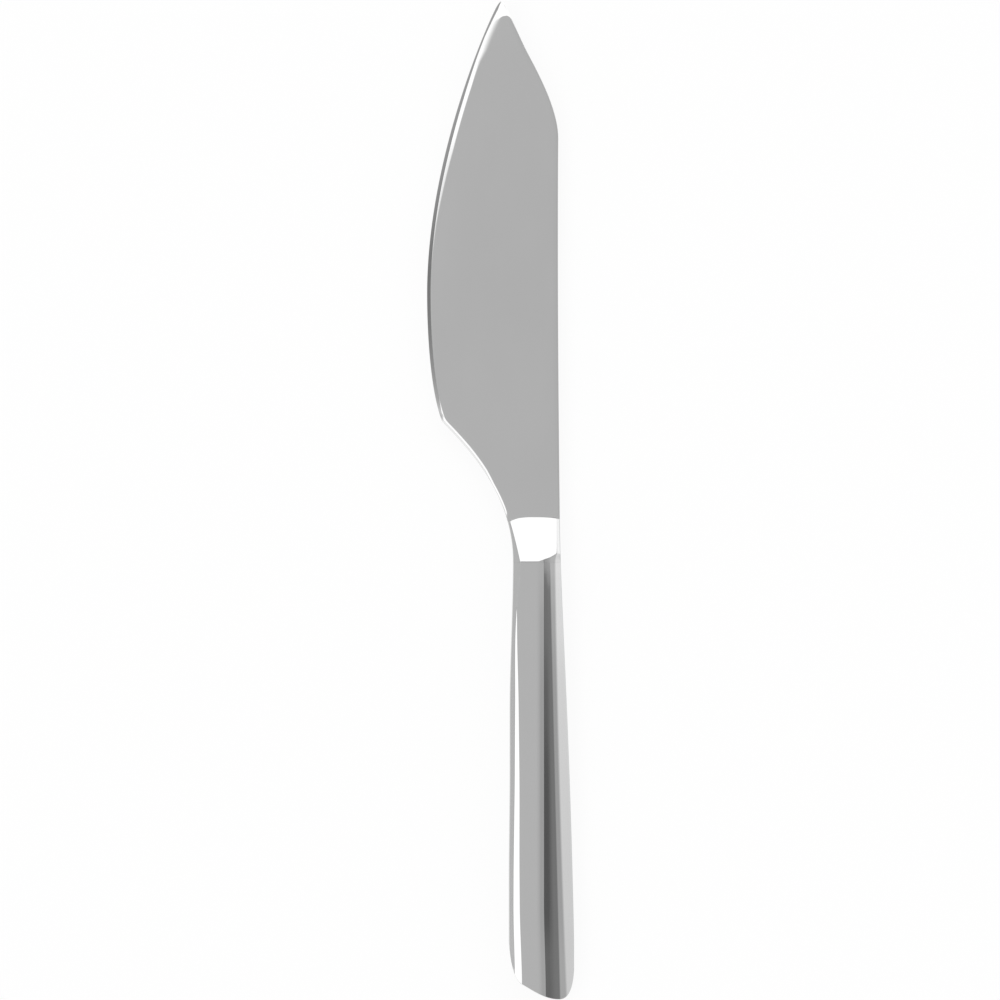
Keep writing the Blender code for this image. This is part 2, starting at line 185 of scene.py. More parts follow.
@dataclass(frozen=True)
class Run:
    """Line in plan, sampled at even steps of its own length.

    Fields:
        along: distance of each sample from the start.
        points: the samples, of shape (n, 2).
        left: unit normals on the left of the way along, averaged over nearby samples.
    """

    along: Array
    points: Array
    left: Array

    @classmethod
    def through(cls, points: Array, pitch: float, blur: int) -> "Run":
        """Resample a line of points.

        Args:
            points: the line, of shape (m, 2).
            pitch: step between samples.
            blur: how many samples on each side share in a normal.

        Returns:
            The run along that line.
        """
        gaps = np.linalg.norm(np.diff(points, axis=0), axis=1)
        reach = np.concatenate([[0.0], np.cumsum(gaps)])
        along = np.linspace(0.0, reach[-1], round(reach[-1] / pitch) + 1)
        even = read_pairs(along, reach, points)
        way = averaged(np.gradient(even, axis=0), blur)
        left = np.column_stack([-way[:, 1], way[:, 0]])
        return cls(along, even, left / np.linalg.norm(left, axis=1, keepdims=True))

    def at(self, along: Array) -> Array:
        """Points of the run at these distances from its start."""
        return read_pairs(along, self.along, self.points)


@dataclass(frozen=True)
class Placement:
    """Where the knife's own origin lies in the frame, in millimetres."""

    origin: Array

    def metres(self, points: Array) -> Array:
        """Points of the knife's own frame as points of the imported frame, in metres."""
        return (points.reshape(-1, 3) + self.origin) * MM


def grid_faces(first: int, rows: int, columns: int) -> Array:
    """Quads of a grid of points that are numbered row by row.

    Args:
        first: number of the first point.
        rows: how many rows of points there are.
        columns: how many points a row has.

    Returns:
        Quads of shape (m, 4).
    """
    index = first + np.arange(rows * columns).reshape(rows, columns)
    corners = [index[:-1, :-1], index[:-1, 1:], index[1:, 1:], index[1:, :-1]]
    return np.stack(corners, axis=-1).reshape(-1, 4)


def strip_faces(one: Array, other: Array) -> Array:
    """Quads between two lines of point numbers of the same length."""
    return np.column_stack([one[:-1], one[1:], other[1:], other[:-1]])


def body_between(front: Array, back: Array, folded: bool = False) -> Surface:
    """Closed body between two sheets over one grid: both sheets, and strips that join them at the border.

    Args:
        front: points of one sheet, of shape (rows, columns, 3).
        back: points of the other sheet, of the same shape.
        folded: whether the last row is folded on itself, so that welding closes it without a strip.

    Returns:
        Points of shape (n, 3) and quads of shape (m, 4).
    """
    rows, columns = front.shape[:2]
    count = rows * columns
    index = np.arange(count).reshape(rows, columns)
    borders = [index[0], index[:, 0], index[:, -1]]
    if not folded:
        borders.append(index[-1])
    faces = [grid_faces(0, rows, columns), grid_faces(count, rows, columns)]
    faces += [strip_faces(line, line + count) for line in borders]
    return np.concatenate([front.reshape(-1, 3), back.reshape(-1, 3)]), np.concatenate(faces)


def mirrored(front: Array) -> Array:
    """Sheet behind the middle of the blade's thickness that mirrors the one in front of it."""
    return front * np.array([1.0, 1.0, -1.0])


def rounded_line(
    corners: list[Array], reaches: list[Array], shares: Values, steps: int, spans: dict[int, int]
) -> Array:
    """Lines through rows of corners, with every inner corner rounded off.

    A rounded corner C is the curve C + (1-t)^2 (A - C) + t^2 (B - C), where A and B lie on the two legs
    at the corner's reach, which is held under a share of each leg.

    Args:
        corners: corners from one end to the other, each of shape (rows, 3).
        reaches: reach of each inner corner, each of shape (rows,).
        shares: greatest share of a leg that each inner corner may take.
        steps: how many points a rounded corner has.
        spans: number of extra points on the leg that follows a corner, by the corner's place in the list.

    Returns:
        Points of shape (rows, columns, 3).
    """
    t = np.linspace(0.0, 1.0, steps)[None, :, None]
    columns = [corners[0][:, None]]
    for place in range(1, len(corners) - 1):
        corner = corners[place]
        legs = [corners[place + turn] - corner for turn in (-1, 1)]
        lengths = [np.maximum(np.linalg.norm(leg, axis=1), LEAST_LEG) for leg in legs]
        reach = np.minimum(reaches[place - 1], shares[place - 1] * np.minimum(*lengths))
        before, after = (leg * (reach / length)[:, None] for leg, length in zip(legs, lengths))
        bend = (1 - t) ** 2 * before[:, None] + t**2 * after[:, None]
        columns.append(corner[:, None] + bend)
        if place in spans:
            share = np.linspace(0.0, 1.0, spans[place] + 2)[None, 1:-1, None]
            start = (corner + after)[:, None]
            stop = (corners[place + 1] - after)[:, None]
            columns.append(start + (stop - start) * share)
    columns.append(corners[-1][:, None])
    return np.concatenate(columns, axis=1)


class Shade:
    """Output of a shader node that takes part in sums, differences and products."""

    def __init__(self, graph: "Graph", socket: bpy.types.NodeSocket) -> None:
        """Keep the socket and the graph that its Math nodes go into."""
        self.graph = graph
        self.socket = socket

    def __getitem__(self, name: str) -> "Shade":
        """Another output of the same node."""
        return Shade(self.graph, self.socket.node.outputs[name])

    def math(self, operation: str, *others: "Shade | float") -> "Shade":
        """Math node with this value first and the others after it."""
        values = dict(enumerate((self, *others)))
        return self.graph.node("ShaderNodeMath", {"operation": operation}, values)

    def __add__(self, other: "Shade | float") -> "Shade":
        """Sum."""
        return self.math("ADD", other)

    __radd__ = __add__

    def __sub__(self, other: "Shade | float") -> "Shade":
        """Difference."""
        return self.math("SUBTRACT", other)

    def __rsub__(self, other: float) -> "Shade":
        """Difference from a number."""
        return self.graph.node("ShaderNodeMath", {"operation": "SUBTRACT"}, {0: other, 1: self})

    def __mul__(self, other: "Shade | float") -> "Shade":
        """Product."""
        return self.math("MULTIPLY", other)

    __rmul__ = __mul__

    def __neg__(self) -> "Shade":
        """Opposite."""
        return self.math("MULTIPLY", -1.0)

    def rise(self, low: float, high: float) -> "Shade":
        """Smooth rise from 0 where this value is low to 1 where it is high."""
        ends = {"Value": self, "From Min": low, "From Max": high}
        return self.graph.node("ShaderNodeMapRange", {"interpolation_type": "SMOOTHSTEP"}, ends)

    def toward(self, other: "Shade | float", share: "Shade") -> "Shade":
        """This value drawn to another one by a share: a + (b - a) s."""
        return self + (other - self) * share


@dataclass(frozen=True)
class Grain:
    """Noise pattern of a finish.

    Fields:
        scale: grains a metre along x, y and z.
        detail: how many finer layers lie over it.
    """

    scale: Triple
    detail: float


class Graph:
    """Node tree of a material or of the world, built up node by node."""

    def __init__(self, tree: bpy.types.NodeTree) -> None:
        """Start from an empty tree."""
        self.tree = tree
        tree.nodes.clear()

    def node(
        self,
        kind: str,
        settings: dict[str, object] | None = None,
        sockets: dict[str | int, object] | None = None,
        output: str | int = 0,
    ) -> Shade:
        """Add one node.

        Args:
            kind: the node's type.
            settings: its properties, set first; stops gives a ramp's positions and greys.
            sockets: values or links of its inputs, by name or number.
            output: which output is returned.

        Returns:
            That output, or the first input of a node that has none.
        """
        made = self.tree.nodes.new(kind)
        for name, value in (settings or {}).items():
            if name == "stops":
                self._fill_ramp(made.color_ramp, value)
            else:
                setattr(made, name, value)
        for key, value in (sockets or {}).items():
            if isinstance(value, Shade):
                self.tree.links.new(value.socket, made.inputs[key])
            else:
                made.inputs[key].default_value = value
        return Shade(self, made.outputs[output] if made.outputs else made.inputs[0])

    @staticmethod
    def _fill_ramp(ramp: bpy.types.ColorRamp, stops: list[Point]) -> None:
        """Set the stops of a new ramp.

        Args:
            ramp: the ramp, with the two stops that it starts with.
            stops: position and grey of each stop, in order.
        """
        for _ in range(len(stops) - len(ramp.elements)):
            ramp.elements.new(0.5)
        for element, (position, grey) in zip(ramp.elements, stops):
            element.position = position
            element.color = (grey, grey, grey, 1.0)

    def grey(self, low: float, high: float, share: Shade, warmth: float = 0.0) -> Shade:
        """Colour between two greys.

        Args:
            low: grey where the share is 0.
            high: grey where the share is 1.
            share: the share.
            warmth: part of each grey that is added to the red and taken from the blue.

        Returns:
            The colour.
        """
        dark, pale = ((grey * (1 + warmth), grey, grey * (1 - warmth), 1.0) for grey in (low, high))
        sockets = {MIX_SHARE: share, MIX_LOW: dark, MIX_HIGH: pale}
        return self.node("ShaderNodeMix", {"data_type": "RGBA"}, sockets, MIX_RESULT)

    def noise(self, point: Shade, grain: Grain) -> Shade:
        """Noise over coordinates that are spread by the grain's scale.

        Args:
            point: the coordinates, in metres.
            grain: the pattern.

        Returns:
            The noise, from 0 to 1.
        """
        spread = self.node("ShaderNodeVectorMath", {"operation": "MULTIPLY"}, {0: point, 1: grain.scale})
        sockets = {"Vector": spread, "Scale": 1.0, "Detail": grain.detail}
        return self.node("ShaderNodeTexNoise", None, sockets)

    def close(
        self,
        colour: Shade,
        roughness: Shade,
        relief: Shade,
        height: float,
        strength: float = 1.0,
        metal: bool = True,
    ) -> None:
        """End a material with its shader.

        Args:
            colour: base colour.
            roughness: roughness.
            relief: pattern of the fine relief.
            height: height of the relief, in metres.
            strength: share of the relief that shows.
            metal: whether it is a metal.
        """
        depth = {"Strength": strength, "Distance": height, "Height": relief}
        bump = self.node("ShaderNodeBump", None, depth)
        sockets = {"Base Color": colour, "Roughness": roughness, "Metallic": float(metal), "Normal": bump}
        shader = self.node("ShaderNodeBsdfPrincipled", None, sockets)
        self.node("ShaderNodeOutputMaterial", None, {"Surface": shader})


def new_material(name: str) -> tuple[bpy.types.Material, Graph, Shade]:
    """Start a material.

    Args:
        name: name of the material.

    Returns:
        The empty material, its graph, and the Object coordinates that its patterns read.
    """
    material = bpy.data.materials.new(name)
    material.use_nodes = True
    graph = Graph(material.node_tree)
    return material, graph, graph.node("ShaderNodeTexCoord", output="Object")


@dataclass(frozen=True)
class PolishedSteel:
    """Polished stainless steel: fine buffing lines, faint scratches and clouds of handling.

    Fields:
        name: name of the material.
        tone: grey of the steel.
        tone_play: part of the grey by which it goes up and down.
        roughness: roughness of the clean polish.
        lines: pattern of the buffing lines, which run along the knife.
        line_height: height of the buffing lines, in metres.
        line_play: how much the lines change the roughness.
        clouds: pattern of the clouds of handling.
        cloud_edges: values of that pattern at which a cloud starts and is full.
        cloud_play: how much a cloud adds to the roughness.
        streaks: pattern that the scratches are cut from.
        scratch_levels: values of that pattern at which a scratch starts, is deepest and ends.
        scratch_play: how much a scratch adds to the roughness.
    """

    name: str
    tone: float = 0.62
    tone_play: float = 0.015
    roughness: float = 0.085
    lines: Grain = Grain((2600.0, 45.0, 2600.0), 3.0)
    line_height: float = 4e-7
    line_play: float = 0.03
    clouds: Grain = Grain((55.0, 38.0, 55.0), 3.0)
    cloud_edges: Point = (0.35, 0.75)
    cloud_play: float = 0.02
    streaks: Grain = Grain((900.0, 26.0, 900.0), 2.0)
    scratch_levels: Triple = (0.66, 0.70, 0.74)
    scratch_play: float = 0.03

    def material(self) -> bpy.types.Material:
        """Build the material.

        Returns:
            The new material.
        """
        material, graph, point = new_material(self.name)
        lines = graph.noise(point, self.lines)
        clouds = graph.noise(point, self.clouds).rise(*self.cloud_edges)
        streaks = graph.noise(point, self.streaks)
        start, deepest, end = self.scratch_levels
        scratches = streaks.rise(start, deepest) * (1 - streaks.rise(deepest, end))
        roughness = self.roughness + self.cloud_play * clouds + self.scratch_play * scratches
        roughness = roughness + self.line_play * (lines - 0.5)
        low, high = self.tone * (1 - self.tone_play), self.tone * (1 + self.tone_play)
        colour = graph.grey(low, high, lines * 0.5 + clouds * 0.5)
        graph.close(colour, roughness, lines + scratches, self.line_height)
        return material


@dataclass(frozen=True)
class BrazeAlloy:
    """Dressed braze: paler and warmer than the steel, with the ripples of the dressing wheel.

    Fields:
        name: name of the material.
        tone: grey of the alloy.
        tone_ends: shares of that grey between which it varies.
        warmth: shift of the grey from blue to red.
        roughness: mean roughness.
        ripples: pattern of the ripples, which run across the seam.
        ripple_play: how much the ripples change the roughness.
        ripple_height: height of the ripples, in metres.
        ripple_strength: share of that height that shows.
        clouds: pattern of the tone.
        cloud_play: how much the clouds change the roughness.
    """

    name: str
    tone: float = 0.64
    tone_ends: Point = (0.94, 1.05)
    warmth: float = 0.045
    roughness: float = 0.20
    ripples: Grain = Grain((400.0, 1500.0, 400.0), 2.0)
    ripple_play: float = 0.16
    ripple_height: float = 1e-6
    ripple_strength: float = 0.6
    clouds: Grain = Grain((160.0, 90.0, 160.0), 3.0)
    cloud_play: float = 0.1

    def material(self) -> bpy.types.Material:
        """Build the material.

        Returns:
            The new material.
        """
        material, graph, point = new_material(self.name)
        ripples = graph.noise(point, self.ripples)
        clouds = graph.noise(point, self.clouds)
        low, high = (self.tone * end for end in self.tone_ends)
        colour = graph.grey(low, high, clouds, self.warmth)
        roughness = self.roughness + self.ripple_play * (ripples - 0.5) + self.cloud_play * (clouds - 0.5)
        graph.close(colour, roughness, ripples, self.ripple_height, self.ripple_strength)
        return material


@dataclass(frozen=True)
class CastCement:
    """Cast filler: grey grains of sand in a paler binder, with small pore holes whose darker tone is painted
    shade.

    Fields:
        name: name of the material.
        dark: darkest grey.
        pale: palest grey.
        warmth: shift of the greys from blue to red.
        roughness: mean roughness.
        grains: pattern of the sand.
        patches: pattern of the binder.
        pores_and_painted_shade: pattern that each pore is cut from, for its relief and for the painted shade
            that darkens it.
        pore_edges: values of that pattern at which a pore starts and is deepest.
        shares: shares of the grains, the patches and the painted pore shade in the tone.
        grain_play: how much the grains change the roughness.
        relief_height: height of the grains over the pores, in metres.
        relief_strength: share of that height that shows.
    """

    name: str
    dark: float = 0.30
    pale: float = 0.46
    warmth: float = 0.05
    roughness: float = 0.86
    grains: Grain = Grain((1400.0, 1400.0, 1400.0), 5.0)
    patches: Grain = Grain((150.0, 150.0, 150.0), 2.0)
    pores_and_painted_shade: Grain = Grain((520.0, 520.0, 520.0), 1.0)
    pore_edges: Point = (0.68, 0.74)
    shares: Triple = (0.7, 0.4, 0.5)
    grain_play: float = 0.12
    relief_height: float = 6e-5
    relief_strength: float = 0.7

    def material(self) -> bpy.types.Material:
        """Build the material.

        Returns:
            The new material.
        """
        material, graph, point = new_material(self.name)
        grains = graph.noise(point, self.grains)
        patches = graph.noise(point, self.patches)
        pores_and_painted_shade = graph.noise(point, self.pores_and_painted_shade).rise(*self.pore_edges)
        of_grains, of_patches, of_painted_pore_shade = self.shares
        # Pore holes are darkened in the tone: painted shade in their hollows. Their relief in the bump below
        # is real.
        tone = grains * of_grains + patches * of_patches - pores_and_painted_shade * of_painted_pore_shade
        colour = graph.grey(self.dark, self.pale, tone, self.warmth)
        roughness = self.roughness + self.grain_play * (grains - 0.5)
        relief = grains - pores_and_painted_shade
        graph.close(colour, roughness, relief, self.relief_height, self.relief_strength, metal=False)
        return material


@dataclass(frozen=True)
class Workshop:
    """Turns worked-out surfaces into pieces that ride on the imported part.

    Fields:
        placement: where the knife's own origin lies.
    """

    placement: Placement

    def piece(
        self, name: str, surface: Surface, material: bpy.types.Material, replaced: str
    ) -> bpy.types.Object:
        """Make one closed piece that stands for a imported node.

        Args:
            name: name of the piece.
            surface: points in the knife's own millimetres, and quads.
            material: its finish.
            replaced: node that the piece stands for.

        Returns:
            The new object.
        """
        points, faces = surface
        mesh = bpy.data.meshes.new(name)
        mesh.from_pydata(self.placement.metres(points).tolist(), [], faces.tolist())
        shape = bmesh.new()
        shape.from_mesh(mesh)
        bmesh.ops.remove_doubles(shape, verts=shape.verts, dist=WELD)
        bmesh.ops.dissolve_degenerate(shape, edges=shape.edges, dist=WELD)
        bmesh.ops.recalc_face_normals(shape, faces=shape.faces)
        shape.to_mesh(mesh)
        shape.free()
        mesh.shade_smooth()
        mesh.set_sharp_from_angle(angle=math.radians(SHARP_DEG))
        mesh.materials.append(material)
        made = bpy.data.objects.new(name, mesh)
        bpy.context.scene.collection.objects.link(made)
        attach(made, BODY)
        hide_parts(replaced)
        return made


@dataclass(frozen=True)
class HandleForm:
    """Outside of the handle: its sides in plan, its butt and the facets of its front half, in millimetres.

    From the edge side to the spine side a section has an upright wall, a steep facet, a chamfer, the flat, a
    gentle shoulder, the two parts of the slope, a band, a facet on the spine side and an upright wall.

    In the names of the fields, a pull is the length of a curve's leg at one of its ends, a run is the
    stretch behind the shoulder over which something changes, and deg is a heading or a tilt in degrees.
    The five rows of tilts hold at the distances of tilt_along behind the shoulder. A line is a place
    across the handle and its change for each millimetre further back.
    """

    # sides in plan
    length: float = 127.36
    bolster_length: float = 11.4
    heel_corner: Point = (-30.8, 25.6)
    heel_pull: float = 11.0
    heel_curve_deg: float = 45.5
    neck_pull: float = 17.2
    neck_edge_side: float = 12.0
    grip_edge_side: float = 13.1
    swell_runs: tuple[Point, Point] = ((0.0, 40.0), (55.0, 85.0))
    swell_first: float = 0.8
    spine_lean: float = 0.4
    grip_spine_side: float = 4.2
    spine_neck_pull: Point = (0.24, 23.2)
    spine_butt_pull: Point = (1.2, 60.0)
    # end of the handle
    butt_edge_corner: float = 21.56
    butt_edge_pull: float = 8.7
    butt_knee: Point = (-9.74, 4.14)
    butt_knee_pulls: Point = (3.0, 3.3)
    butt_slant_deg: float = 29.7
    butt_low_offset: float = -0.25
    butt_low_pulls: Point = (3.7, 3.8)
    butt_spine_corner: float = 15.46
    butt_spine_pull: float = 9.6
    corner_reach: float = 0.2
    # half heights, and the wall on the edge side
    half_thickness: float = 4.8
    half_mouth: float = 1.3
    half_blade: float = 0.8
    edge_wall_neck: float = 3.07
    edge_wall_bend: float = 0.5
    edge_wall_rise: float = 0.70
    edge_wall_rise_run: Point = (11.4, 25.0)
    edge_wall_fall: float = 0.50
    edge_wall_fall_run: Point = (28.0, 50.0)
    edge_wall_butt_fall: float = 0.42
    edge_wall_butt_run: Point = (102.0, 124.0)
    # facets on the edge side, and the ridge
    steep_deg: float = 43.0
    chamfer_start: float = 24.5
    chamfer_run: float = 95.0
    chamfer_width: float = 1.85
    chamfer_deg: float = 15.0
    ridge_offset: float = 3.8
    ridge_drift: float = 0.5
    ridge_drift_run: Point = (101.0, 127.0)
    shoulder_width: float = 1.5
    # tilts along the handle
    tilt_along: Values = (11.4, 15.2, 19.0, 27.0, 48.0, 75.0, 101.0, 118.0)
    shoulder_deg: Values = (1.2, 1.8, 2.6, 3.4, 4.0, 4.0, 3.8, 3.4)
    slope_deg: Values = (22.0, 13.2, 12.6, 12.4, 10.8, 9.2, 9.4, 11.4)
    slope_far_deg: Values = (25.0, 17.0, 13.1, 12.8, 12.6, 12.7, 12.7, 12.9)
    band_deg: Values = (28.2, 28.0, 27.0, 25.6, 23.2, 22.9, 23.8, 25.4)
    spine_facet_deg: Values = (37.3, 37.3, 37.3, 36.5, 34.6, 33.9, 33.5, 33.2)
    # lines between the facets on the spine side
    line_start: float = 24.4
    band_line: Point = (-1.92, 0.0235)
    facet_line: Triple = (-0.70, 0.015, 0.00013)
    facet_neck_shift: float = 0.55
    facet_neck_run: Point = (8.5, 12.0)

    def edge_side(self, y: Array) -> Array:
        """Edge side in plan: the heel's concave cubic curve to the bolster's end, then a swell to the grip.

        Args:
            y: stations.

        Returns:
            Place x of the side at each station.
        """
        neck = (-self.neck_edge_side, -self.bolster_length)
        lean = math.radians(self.heel_curve_deg)
        corner = self.heel_corner
        leave = (corner[0] + self.heel_pull * math.cos(lean), corner[1] - self.heel_pull * math.sin(lean))
        curve = cubic([corner, leave, (neck[0], neck[1] + self.neck_pull), neck])
        heel = at_height(y, curve, curve[:, 0])
        first, last = (smooth(*run, -self.bolster_length - y) for run in self.swell_runs)
        swell = self.swell_first * first + (1 - self.swell_first) * last
        return heel - (self.grip_edge_side - self.neck_edge_side) * swell

    def spine_side(self, y: Array) -> Array:
        """Spine side in plan: one cubic curve from the shoulder to the start of the butt's corner.

        Args:
            y: stations.

        Returns:
            Place x of the side at each station.
        """
        start = (self.spine_lean, 0.0)
        end = (self.grip_spine_side, -self.length + self.butt_spine_corner)
        leave = (start[0] + self.spine_neck_pull[0], -self.spine_neck_pull[1])
        arrive = (end[0] - self.spine_butt_pull[0], end[1] + self.spine_butt_pull[1])
        curve = cubic([start, leave, arrive, end])
        return at_height(y, curve, curve[:, 0])

    def butt(self, x: Array) -> Array:
        """End of the handle: three cubic curves over a rounded corner, a slanted knee and the lowest point.

        Args:
            x: places across the handle.

        Returns:
            Station y of the end at each place.
        """
        low = -self.length
        start = (-self.grip_edge_side - self.corner_reach, low + self.butt_edge_corner)
        knee = (self.butt_knee[0], low + self.butt_knee[1])
        slant = 90.0 - self.butt_slant_deg
        lowest = (-self.butt_low_offset, low)
        end = (self.grip_spine_side + self.corner_reach, low + self.butt_spine_corner)
        up, down = self.butt_knee_pulls
        to_edge, to_spine = self.butt_low_pulls
        runs = [
            [start, (start[0], start[1] - self.butt_edge_pull), ahead(knee, -up, slant), knee],
            [knee, ahead(knee, down, slant), (lowest[0] - to_edge, low), lowest],
            [lowest, (lowest[0] + to_spine, low), (end[0], end[1] - self.butt_spine_pull), end],
        ]
        curve = np.vstack([cubic(run) for run in runs])
        return np.interp(x, curve[:, 0], curve[:, 1])

    def edge_wall(self, y: Array) -> Array:
        """Upright wall on the edge side, which grows out of the blade's own.

        Over the bolster it grows by (1 + b) s - b s^2 of the share s of its length. A smooth rise and two
        smooth falls follow on the grip.

        Args:
            y: stations.

        Returns:
            Half height of the wall at each station.
        """
        share = np.clip(-y / self.bolster_length, 0.0, 1.0)
        growth = (1 + self.edge_wall_bend) * share - self.edge_wall_bend * share**2
        neck = self.half_blade + (self.edge_wall_neck - self.half_blade) * growth
        rise = self.edge_wall_rise * smooth(*self.edge_wall_rise_run, -y)
        fall = self.edge_wall_fall * smooth(*self.edge_wall_fall_run, -y)
        return neck + rise - fall - self.edge_wall_butt_fall * smooth(*self.edge_wall_butt_run, -y)

    def tilts(self, y: Array) -> list[Array]:
        """Tilts of the ten facets, of which five turn slowly along the handle.

        Args:
            y: stations.

        Returns:
            Tilt of each facet at each station in degrees, from the edge side to the spine side.
        """
        rows = (self.shoulder_deg, self.slope_deg, self.slope_far_deg, self.band_deg, self.spine_facet_deg)
        fixed = [np.full_like(y, deg) for deg in (-90.0, -self.steep_deg, -self.chamfer_deg, 0.0)]
        turning = [eased(self.tilt_along, degrees, -y) for degrees in rows]
        return [*fixed, *turning, np.full_like(y, 90.0)]

    def facet_lines(self, y: Array) -> tuple[Array, Array]:
        """Lines where the band and the facet on the spine side start: a straight one and a bent one.

        Args:
            y: stations.

        Returns:
            Places x of both lines at each station.
        """
        run = -y - self.line_start
        band = self.band_line[0] + self.band_line[1] * run
        start, lean, bend = self.facet_line
        neck = self.facet_neck_shift * (1 - smooth(*self.facet_neck_run, -y))
        return band, start + lean * run + bend * run**2 + neck

    def corners(self, y: Array, least_chamfer: float) -> tuple[list[Array], list[Array], list[Array]]:
        """Corners of the front half and the facets' tilts at stations of any shape.

        Every corner lies where its facet's line, z = z0 - (x - x0) tan(tilt), reaches the next one's
        start. The chamfer's width grows as the square root of the distance behind its start.

        Args:
            y: the stations.
            least_chamfer: least width of the chamfer.

        Returns:
            Places x, heights z and tilts: nine corners and ten facets, each of the shape of y.
        """
        tilts = self.tilts(y)
        left = self.edge_side(y)
        wall = self.edge_wall(y)
        growth = np.sqrt(np.clip((-y - self.chamfer_start) / self.chamfer_run, 0.0, None))
        chamfer = np.maximum(self.chamfer_width * growth, least_chamfer)
        chamfer_drop = chamfer * tangent(self.chamfer_deg)
        low_x = left + (self.half_thickness - chamfer_drop - wall) / tangent(self.steep_deg)
        ridge = -self.ridge_offset + self.ridge_drift * smooth(*self.ridge_drift_run, -y)
        band, facet = self.facet_lines(y)
        near_edge = [left, low_x, low_x + chamfer, ridge - self.shoulder_width]
        places = [*near_edge, ridge, (ridge + band) / 2, band, facet, self.spine_side(y)]
        level = self.half_thickness * np.ones_like(y)
        heights = [wall, level - chamfer_drop, level, level]
        for corner in range(Corner.SLOPE, Corner.SPINE_WALL + 1):
            run = places[corner] - places[corner - 1]
            heights.append(heights[-1] - run * tangent(tilts[corner]))
        return places, heights, tilts


@dataclass(frozen=True)
class Profile:
    """Front half of the handle as columns of points that can be read at any station.

    Each column belongs to a corner C of the section and stands at C - a u + b v, where u and v are the
    ways along the facets before and after the corner, so that the columns of a corner round it off.
    Columns on the facet after the corner stand at a share of the way to the next corner's first column.

    Fields:
        form: the handle's outside.
        inset: how far the profile lies inside the handle's outside.
        foot: height of the profile's two ends above the middle plane.
        least_chamfer: least width of the chamfer.
        reaches: how far each corner's rounding runs along its two facets.
        steps: how many columns round off a corner.
        spans: how many columns stand on the facet after each corner.
        hold: share of the reach at which one more column holds the facet flat.
        leg_share: greatest share of a facet that a corner's rounding may take.
        wall_room: room for the rounding on the two upright walls, as a multiple of the first reach.
        settling: how many times a column is moved on towards the butt's line.
    """

    form: HandleForm
    inset: float = 0.0
    foot: float = 0.0
    least_chamfer: float = 0.008
    reaches: Values = (0.25, 0.07, 0.07, 0.9, 0.06, 0.9, 0.14, 0.30, 0.25)
    steps: int = 7
    spans: tuple[int, ...] = (4, 3, 14, 3, 3, 3, 4, 7, 0)
    hold: float = 1.3
    leg_share: float = 0.38
    wall_room: float = 4.0
    settling: int = 16

    @property
    def columns(self) -> int:
        """Number of columns, with the two feet."""
        return len(self.reaches) * (self.steps + 2) + sum(self.spans) + 2

    def _weights(self) -> tuple[Array, Array, Array, Array]:
        """Weights that place the columns: a corner's rounding has shares (1-t)^2 before it and t^2 after it.

        Returns:
            Corner of each column, its shares of the reach before and after that corner, and its share of the
            facet that follows.
        """
        t = np.linspace(0.0, 1.0, self.steps)
        owner, before, after, onward = [], [], [], []
        for corner, span in enumerate(self.spans):
            share = np.linspace(0.0, 1.0, span + 2)[1:-1]
            owner.append(np.full(self.steps + 2 + span, corner))
            before.append(np.concatenate([[self.hold], (1 - t) ** 2, [0.0], 0.0 * share]))
            after.append(np.concatenate([[0.0], t**2, [self.hold], self.hold + 0.0 * share]))
            onward.append(np.concatenate([np.zeros(self.steps + 2), share]))
        return np.concatenate(owner), np.concatenate(before), np.concatenate(after), np.concatenate(onward)

    def _sections(self, y: Array, shrink: float) -> tuple[Array, Array, Array, Array, Array]:
        """Sections of the profile with sharp corners.

        An inset d moves a corner between facets with the normals m and n by -d (m + n) / (1 + m . n).

        Args:
            y: stations, of any shape.
            shrink: further inset of all facets.

        Returns:
            Places x, heights z and reaches of the corners, and the two parts of the facets' normals.
        """
        places, heights, tilts = self.form.corners(y, self.least_chamfer)
        tilt = np.radians(np.stack(tilts))
        normal_x, normal_z = np.sin(tilt), np.cos(tilt)
        depth = (self.inset + shrink) / (1 + normal_x[:-1] * normal_x[1:] + normal_z[:-1] * normal_z[1:])
        x = np.stack(places) - depth * (normal_x[:-1] + normal_x[1:])
        z = np.stack(heights) - depth * (normal_z[:-1] + normal_z[1:])
        gap = np.hypot(np.diff(x, axis=0), np.diff(z, axis=0))
        walls = np.full_like(x[:1], self.reaches[0] * self.wall_room)
        room = np.minimum(np.concatenate([walls, gap]), np.concatenate([gap, walls]))
        reach = np.minimum(np.array(self.reaches)[:, None, None], self.leg_share * room)
        return x, z, reach, normal_x, normal_z

    def points(self, y: Array, shrink: float = 0.0) -> Array:
        """Points of the profile.

        Args:
            y: station of every point, of shape (rows, columns).
            shrink: further inset of all facets.

        Returns:
            Points of shape (rows, columns, 3).
        """
        owner, before, after, onward = self._weights()
        inner = y[:, 1:-1]
        x, z, reach, normal_x, normal_z = self._sections(inner, shrink)
        grid = (np.arange(inner.shape[0])[:, None], np.arange(inner.shape[1])[None, :])
        here = (owner[None, :], *grid)
        facet = (owner[None, :] + 1, *grid)
        there = (np.minimum(owner + 1, len(self.reaches) - 1)[None, :], *grid)
        back, forth = reach[here] * before, reach[here] * after
        hold = reach[there] * self.hold
        place = x[here] - back * normal_z[here] + forth * normal_z[facet]
        height = z[here] + back * normal_x[here] - forth * normal_x[facet]
        place = place + onward * (x[there] - hold * normal_z[facet] - place)
        height = height + onward * (z[there] + hold * normal_x[facet] - height)
        left = self.form.edge_side(y[:, :1]) + self.inset + shrink
        right = self.form.spine_side(y[:, -1:]) - self.inset - shrink
        feet = np.full_like(left, self.foot)
        across = np.concatenate([left, place, right], axis=1)
        up = np.concatenate([feet, height, feet], axis=1)
        return np.stack([across, y, up], axis=-1)

